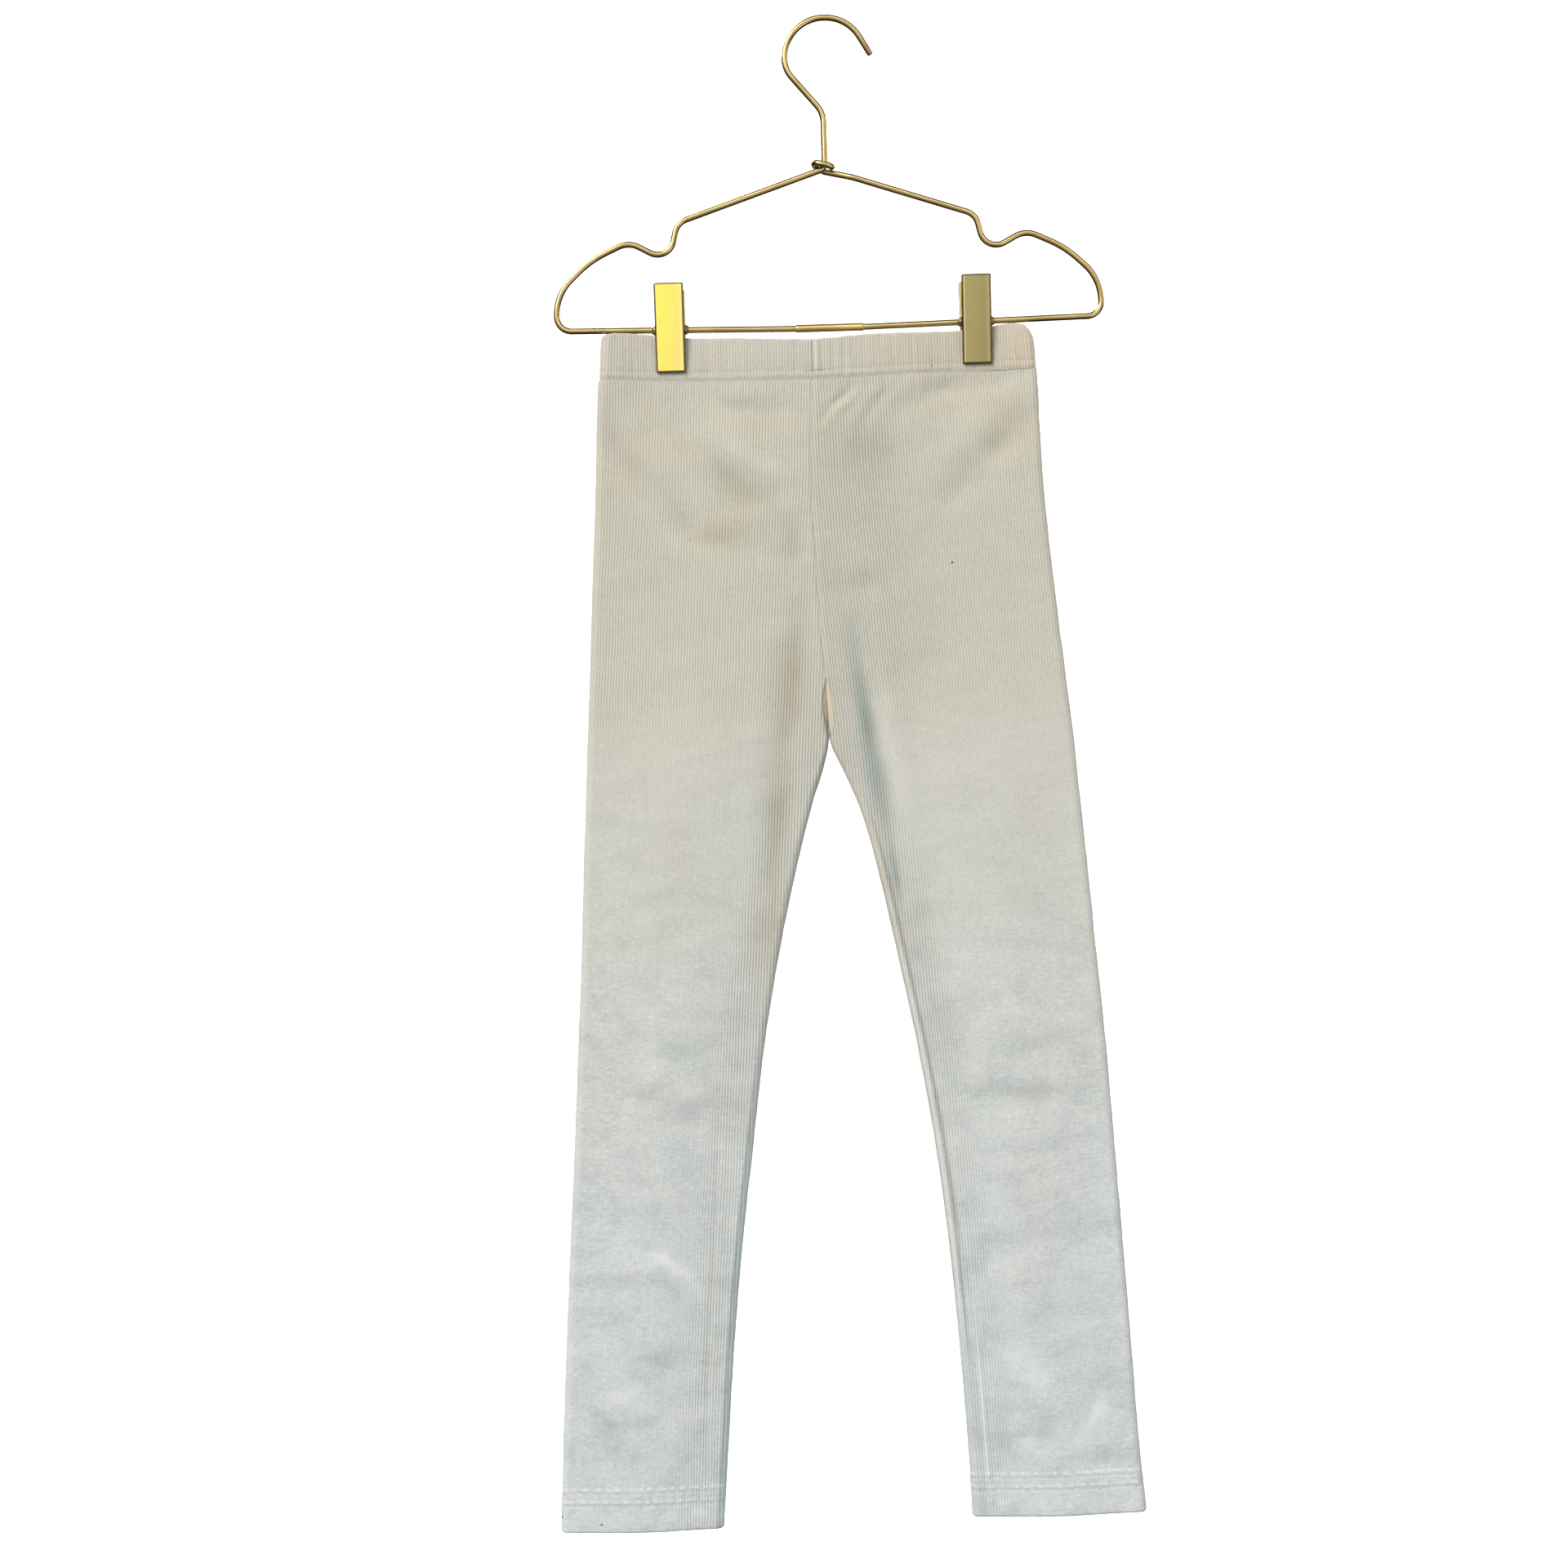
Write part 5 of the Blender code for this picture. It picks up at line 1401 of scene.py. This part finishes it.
# %% Turned rings
def turned(profile, centre, sides=32):
    """A closed profile of x and radius turned about the bar. Its points run round the metal's section."""
    along, radius = np.array(profile, dtype=float).T
    angles = np.linspace(0.0, 2 * math.pi, sides, endpoint=False)
    points = np.stack([
        centre[0] + along[:, None] + 0.0 * angles,
        centre[1] + radius[:, None] * np.cos(angles),
        centre[2] + radius[:, None] * np.sin(angles),
    ], axis=2).reshape(-1, 3)
    index = np.arange(len(points)).reshape(-1, sides)
    return fix_direction(points, [squares(wrapped(wrapped(index, 0), 1))])


SLEEVE_PROFILE = (
    (-20.0, 1.85), (20.0, 1.85), (20.0, 2.05), (19.85, 2.2), (19.6, 2.25), (18.0, 2.25),
    (-18.0, 2.25), (-19.6, 2.25), (-19.85, 2.2), (-20.0, 2.05),
)
metal_piece(
    "bar_ferrule", [turned(SLEEVE_PROFILE, (HANGER_AXIS, 0.0, -BAR_LEVEL))],
    SLEEVE_BRASS, "sleeve_brass", "bar_sleeve",
)

# %% [markdown]
# ## The clips
# Each clip is two pressed plates with lugs that hinge on the bar, a coil spring round the bar between
# them, and a small flared washer on the bar at each side. The plates lean together over the waistband.
# A plate is a rounded slab: rings of a rounded rectangle, drawn in at both ends.

# %% Clip sizes
PLATE_HEIGHT = 51.4
PLATE_THICKNESS = 1.8
PLATE_ROUND = 0.8
JAW_BOTTOM_CENTRE = 3.9
JAW_TOP_CENTRE = 9.3
EAR_RADIUS = 3.0
EAR_THICKNESS = 1.2
EAR_TOP = 8.0
COIL_RADIUS = 2.75
COIL_HALF_LENGTH = 5.0
COIL_TURNS = 6.5
COIL_POINTS = 240
COIL_WIRE_RADIUS = 0.5
COIL_LEG = np.array([0.0, 3.1, 13.0])
WASHER_PROFILE = (
    (8.75, 1.85), (8.75, 2.8), (9.0, 3.05), (9.35, 2.95), (9.9, 2.5), (10.6, 2.1), (10.9, 1.85),
)
LEAN = (JAW_TOP_CENTRE - JAW_BOTTOM_CENTRE) / PLATE_HEIGHT
JAW_MIDDLE = (JAW_TOP_CENTRE + JAW_BOTTOM_CENTRE) / 2
print("plates lean by", round(math.degrees(math.atan(LEAN)), 1), "degrees")


# %% Parts of a clip
def rounded_ring(half_x, half_y, radius):
    """A rectangle with rounded corners, with points just before each corner to keep its sides flat."""
    corner = np.linspace(0.0, math.pi / 2, 5)
    ring = []
    for turn, (sign_x, sign_y) in enumerate(((1, 1), (-1, 1), (-1, -1), (1, -1))):
        centre = np.array([sign_x * (half_x - radius), sign_y * (half_y - radius)])
        angles = corner + turn * math.pi / 2
        arc = centre + radius * np.stack([np.cos(angles), np.sin(angles)], axis=1)
        before = arc[:1] - 0.12 * np.array([[-math.sin(angles[0]), math.cos(angles[0])]])
        after = arc[-1:] + 0.12 * np.array([[-math.sin(angles[-1]), math.cos(angles[-1])]])
        ring += [before, arc, after]
    return np.concatenate(ring)


def plate(facing, centre):
    """The rounded slab of one jaw, leaning away from the cloth towards its top."""
    rings = []
    for angle in np.linspace(0.0, math.pi / 2, 6):
        inset = PLATE_ROUND * (1.0 - math.sin(angle))
        rings.append((inset, -PLATE_HEIGHT / 2 + PLATE_ROUND * (1.0 - math.cos(angle))))
    levels = rings + [(0.0, -PLATE_HEIGHT / 2 + PLATE_ROUND + 0.15), (0.0, -6.0)]
    levels += [(inset, -z) for inset, z in reversed(levels)]
    points = []
    for inset, z in levels:
        half_x, half_y = PLATE_WIDTH / 2 - inset, PLATE_THICKNESS / 2 - inset * 0.999
        ring = rounded_ring(half_x, half_y, PLATE_ROUND - inset * 0.99)
        y = ring[:, 1] + facing * (JAW_MIDDLE + LEAN * z)
        points.append(np.stack([ring[:, 0] + centre[0], y + centre[1], z + centre[2] + 0.0 * y], axis=1))
    return capped(np.concatenate(points), len(points))


def ear(facing, side, outside, centre):
    """One lug: a rounded outline in the plane square to the bar, given its thickness along the bar."""
    angles = np.radians(np.linspace(-90.0, 75.0, 23))
    nose = np.stack([EAR_RADIUS * np.cos(angles), EAR_RADIUS * np.sin(angles)], axis=1)
    foot = (-(JAW_MIDDLE - LEAN * EAR_RADIUS), -EAR_RADIUS)
    head = (-(JAW_MIDDLE + LEAN * EAR_TOP), EAR_TOP)
    outline = np.concatenate(([foot], nose, [head]))
    rims = []
    for out in (outside, outside - EAR_THICKNESS):
        x = np.full(len(outline), centre[0] + side * out)
        rims.append(np.stack([x, centre[1] - facing * outline[:, 0], centre[2] + outline[:, 1]], axis=1))
    return capped(np.concatenate(rims), len(rims))


def spring(centre):
    """A coil round the bar with a straight leg up to each plate."""
    turns = np.linspace(0.0, 2 * math.pi * COIL_TURNS, COIL_POINTS)
    coil = np.stack([
        centre[0] + np.linspace(-COIL_HALF_LENGTH, COIL_HALF_LENGTH, COIL_POINTS),
        centre[1] + COIL_RADIUS * np.cos(turns),
        -centre[2] - COIL_RADIUS * np.sin(turns),
    ], axis=1)
    first = coil[0] + COIL_LEG * (1.0, 1.0, -1.0)
    last = coil[-1] - COIL_LEG
    return tube([first, *coil, last], COIL_WIRE_RADIUS, sides=10, rounding=0.2)


def washer(centre, side):
    """A small flared washer on the bar outside a lug."""
    return turned([(side * along, radius) for along, radius in WASHER_PROFILE], centre, 28)


def bar_drop(x):
    """Level of the bar's centre at x, on the straight run from the sleeve to the end bend."""
    out = abs(x - HANGER_AXIS)
    high, low = SHOULDER_CORNERS[-3], SHOULDER_CORNERS[-2]
    return low[1] + (high[1] - low[1]) * (out - low[0]) / (high[0] - low[0])


# %% [markdown]
# ## Plate brass
# The two front plates lean alike, so their difference is painted light: the left one is given a bright,
# lit brass and the right one a dull one, as if in shade. Each goes softly from one tone to another across
# its width, a painted reflection. The dark rim is a painted reflection as well, the thin glint inside the
# left rim is a painted highlight and the warm stripe near the right one is painted light.


# %% Plate material
def plate_brass(name, upper, lower, rim, glint, side_light):
    """A plate's brass with painted light: two tones across it, a painted glint and side light, and dark
    rims painted as reflections, by the distance in millimetres to its edges.
    """
    centre_x = CLIP_PLACES[name.split("_")[0]]
    paint = Paint(name, {"Metallic": 1.0, "Coat Weight": 0.1, "Coat Roughness": 0.2})
    place = paint.place()
    x = (paint.axis(place, 0) - centre_x * MM) * (1.0 / MM)
    z = (paint.axis(place, 2) + bar_drop(centre_x) * MM) * (1.0 / MM)
    grain = paint.noise(paint.stretched(place, (900.0, 900.0, 60.0)), 1.0, 3.0)
    fine = paint.noise(place, 1600.0)
    soft = paint.noise(place, 30.0)
    # Painted reflection: the colour goes from upper to lower across the plate and a little down it.
    light_fall = paint.between(x * 0.06 + soft * 0.5 - z * 0.009, -0.25, 1.0)
    colour = paint.mix(light_fall, upper, lower)
    from_side = PLATE_WIDTH / 2 - x.size()
    from_end = PLATE_HEIGHT / 2 - z.size()
    # Painted highlight: a thin glint just inside the left rim.
    inner = paint.between(from_side, 1.9, 1.3) * paint.between(x, 0.5, -0.5)
    colour = paint.mix(inner * 0.7, colour, glint)
    # Painted light: a warm stripe near the right edge.
    colour = paint.mix(paint.between(x, 4.6, 6.6) * 0.6, colour, side_light)
    # Painted reflection: dark rims along the sides and ends.
    edge = paint.between(from_side, 1.2, 0.85) + paint.between(from_end, 1.2, 0.85)
    colour = paint.mix(edge.at_most(1.0), colour, rim)
    colour = paint.tint(paint.between(fine, 0.6, 0.85) * 0.25, colour, (0.85, 0.80, 0.70))
    return paint.done(colour, 0.26 + grain * 0.1, grain + fine * 0.3, 0.000008)


# The left plate is painted as lit brass, the right one as the same brass in shade. Colours: upper, lower,
# dark rim, glint, side light.
PLATE_BRASS = {
    "left": plate_brass(
        "left_plate_brass", (1.0, 0.78, 0.14), (1.0, 0.68, 0.20), (0.16, 0.11, 0.03),
        (1.0, 0.86, 0.30), (1.0, 0.78, 0.30),
    ),
    "right": plate_brass(
        "right_plate_brass", (0.37, 0.31, 0.13), (0.29, 0.24, 0.11), (0.10, 0.075, 0.03),
        (0.85, 0.75, 0.36), (0.42, 0.36, 0.18),
    ),
}
print("plates:", ", ".join(material.name for material in PLATE_BRASS.values()))

# %% Make the clips
for clip_name, clip_x in CLIP_PLACES.items():
    centre = (clip_x, 0.0, -bar_drop(clip_x))
    outside = PLATE_WIDTH / 2 - 0.05
    parts = [plate(-1, centre)] + [ear(-1, side, outside, centre) for side in (-1, 1)]
    node = f"clip_{clip_name}_"
    metal_piece(f"jaw_{clip_name}_front", parts, PLATE_BRASS[clip_name], "plate_brass", node + "front")
    inside = PLATE_WIDTH / 2 - EAR_THICKNESS - 0.3
    parts = [plate(1, centre)] + [ear(1, side, inside, centre) for side in (-1, 1)]
    metal_piece(f"jaw_{clip_name}_back", parts, BACK_BRASS, "plate_brass", node + "back")
    metal_piece(f"coil_{clip_name}", [spring(centre)], SPRING_BRASS, "spring_brass", node + "spring")
    rings = [washer(centre, side) for side in (-1, 1)]
    metal_piece(f"washers_{clip_name}", rings, SPRING_BRASS, "spring_brass")

# %% [markdown]
# ## Sheets
# Each cloth piece is measured here for the size that it was cut to: how far it reaches round and how long
# it is, read on the plain form before the creases, and the area of what shows.


def flat_area(grid):
    """Area of a grid surface: half the cross product of each square's two diagonals, in square metres."""
    first = grid[1:, 1:] - grid[:-1, :-1]
    second = grid[1:, :-1] - grid[:-1, 1:]
    return float(np.linalg.norm(np.cross(first, second), axis=2).sum() / 2 * MM * MM)


for leg_name, piece in legs.items():
    outer, _, pattern, _, _ = leg_data[leg_name]
    length = float((pattern[-1, 0, 1] - pattern[0, 0, 1]) * MM)
    now = round(flat_area(outer), 5)
around = float(np.ptp(casing_pattern[:, :, 0]) * MM)
print("casing", round(around, 4), "now", round(flat_area(casing_grid), 5))

# %% [markdown]
# ## Floor and backdrop
# The leggings hang in front of a plain pale sweep: a floor that curves up into a wall well behind them.
# Mirrors of it would wash out the brass, so the metal doesn't see it, and it throws no light on the cloth.

# %% Sweep
FLOOR_LEVEL = -1.02
WALL_PLACE = 2.8
SWEEP_RADIUS = 1.2


def sweep():
    """A floor that turns up into a wall through a quarter circle, carried sideways."""
    bend = np.linspace(0.0, math.pi / 2, 25)
    y = np.concatenate(([-4.0], WALL_PLACE - SWEEP_RADIUS * (1.0 - np.sin(bend)), [WALL_PLACE]))
    z = np.concatenate(([FLOOR_LEVEL], FLOOR_LEVEL + SWEEP_RADIUS * (1.0 - np.cos(bend)), [4.0]))
    x = np.linspace(-5.0, 5.0, 3)
    grid = np.stack([x[:, None] + 0.0 * y, y + 0.0 * x[:, None], z + 0.0 * x[:, None]], axis=2)
    index = np.arange(grid.shape[0] * grid.shape[1]).reshape(grid.shape[:2])
    paint = Paint("pale_sweep", {"Emission Strength": 0.75, "Specular IOR Level": 0.1})
    paint.shader.inputs["Emission Color"].default_value = (1.0, 1.0, 1.0, 1.0)
    grain = paint.noise(paint.place(), 4.0)
    material = paint.done(paint.mix(grain, (0.86, 0.86, 0.855), (0.89, 0.89, 0.885)), 0.9, grain, 0.0005)
    made = raise_mesh("sweep", grid.reshape(-1, 3) / MM, [squares(index)], {}, None, material)
    made.visible_glossy = False
    made.visible_diffuse = False
    return made


sweep()

# %% World light
world = bpy.data.worlds.new("room")
bpy.context.scene.world = world
world.use_nodes = True
background = world.node_tree.nodes["Background"]
ways = world.node_tree.nodes.new("ShaderNodeTexCoord")
parts_of = world.node_tree.nodes.new("ShaderNodeSeparateXYZ")
ramp = world.node_tree.nodes.new("ShaderNodeValToRGB")
remap = world.node_tree.nodes.new("ShaderNodeMapRange")
remap.inputs["From Min"].default_value = -1.0
stops = ramp.color_ramp.elements
stops[0].position, stops[0].color = 0.0, (0.62, 0.70, 0.78, 1.0)
stops[1].position, stops[1].color = 1.0, (1.0, 0.93, 0.80, 1.0)
horizon = stops.new(0.5)
horizon.color = (0.50, 0.49, 0.46, 1.0)
links = world.node_tree.links
links.new(ways.outputs["Generated"], parts_of.inputs[0])
links.new(parts_of.outputs[2], remap.inputs["Value"])
links.new(remap.outputs[0], ramp.inputs[0])
links.new(ramp.outputs[0], background.inputs["Color"])
background.inputs["Strength"].default_value = 0.58
print("world strength:", round(background.inputs["Strength"].default_value, 2))

# %% [markdown]
# ## What the metal reflects
# Metal shows its surroundings. In front of it are a bright wall and a window, at its sides the room is
# dark, which gives wire and rims their dark edges, and there is a dimmer wall behind it. Only reflections
# see this room. The cloth is lit by the plain one.

# %% Mirrored room
tree = world.node_tree


def world_sum(operation, *values):
    """One Math node on the world's outputs and plain numbers."""
    made = tree.nodes.new("ShaderNodeMath")
    made.operation = operation
    for socket, value in zip(made.inputs, values):
        if isinstance(value, bpy.types.NodeSocket):
            links.new(value, socket)
        else:
            socket.default_value = value
    return made.outputs[0]


def world_between(value, low, high, start, end):
    """start below low, end above high and a soft S between them."""
    made = tree.nodes.new("ShaderNodeMapRange")
    made.interpolation_type = "SMOOTHSTEP"
    links.new(value, made.inputs[0])
    for socket, amount in zip(list(made.inputs)[1:5], (low, high, start, end)):
        socket.default_value = amount
    return made.outputs[0]


backward, upward = parts_of.outputs[1], parts_of.outputs[2]
ahead = world_between(backward, -0.85, -0.25, 1.0, 0.03)
behind = world_between(backward, 0.60, 0.92, 0.0, 0.8)
low_down = world_between(upward, -0.75, -0.25, 0.45, 1.0)
pane_foot = world_between(upward, 0.25, 0.50, 0.0, 1.9)
pane_head = world_between(upward, 0.70, 0.90, 1.0, 0.0)
pane_front = world_between(backward, -0.55, -0.35, 1.0, 0.0)
pane = world_sum("MULTIPLY", world_sum("MULTIPLY", pane_foot, pane_head), pane_front)
shine = world_sum("ADD", world_sum("MULTIPLY", world_sum("ADD", ahead, behind), low_down), pane)
mirrored = tree.nodes.new("ShaderNodeBackground")
mirrored.inputs["Color"].default_value = (1.0, 0.98, 0.94, 1.0)
links.new(shine, mirrored.inputs["Strength"])
ray = tree.nodes.new("ShaderNodeLightPath")
either = tree.nodes.new("ShaderNodeMixShader")
links.new(ray.outputs["Is Glossy Ray"], either.inputs[0])
links.new(background.outputs[0], either.inputs[1])
links.new(mirrored.outputs[0], either.inputs[2])
links.new(either.outputs[0], tree.nodes["World Output"].inputs["Surface"])
print("world nodes:", len(tree.nodes))
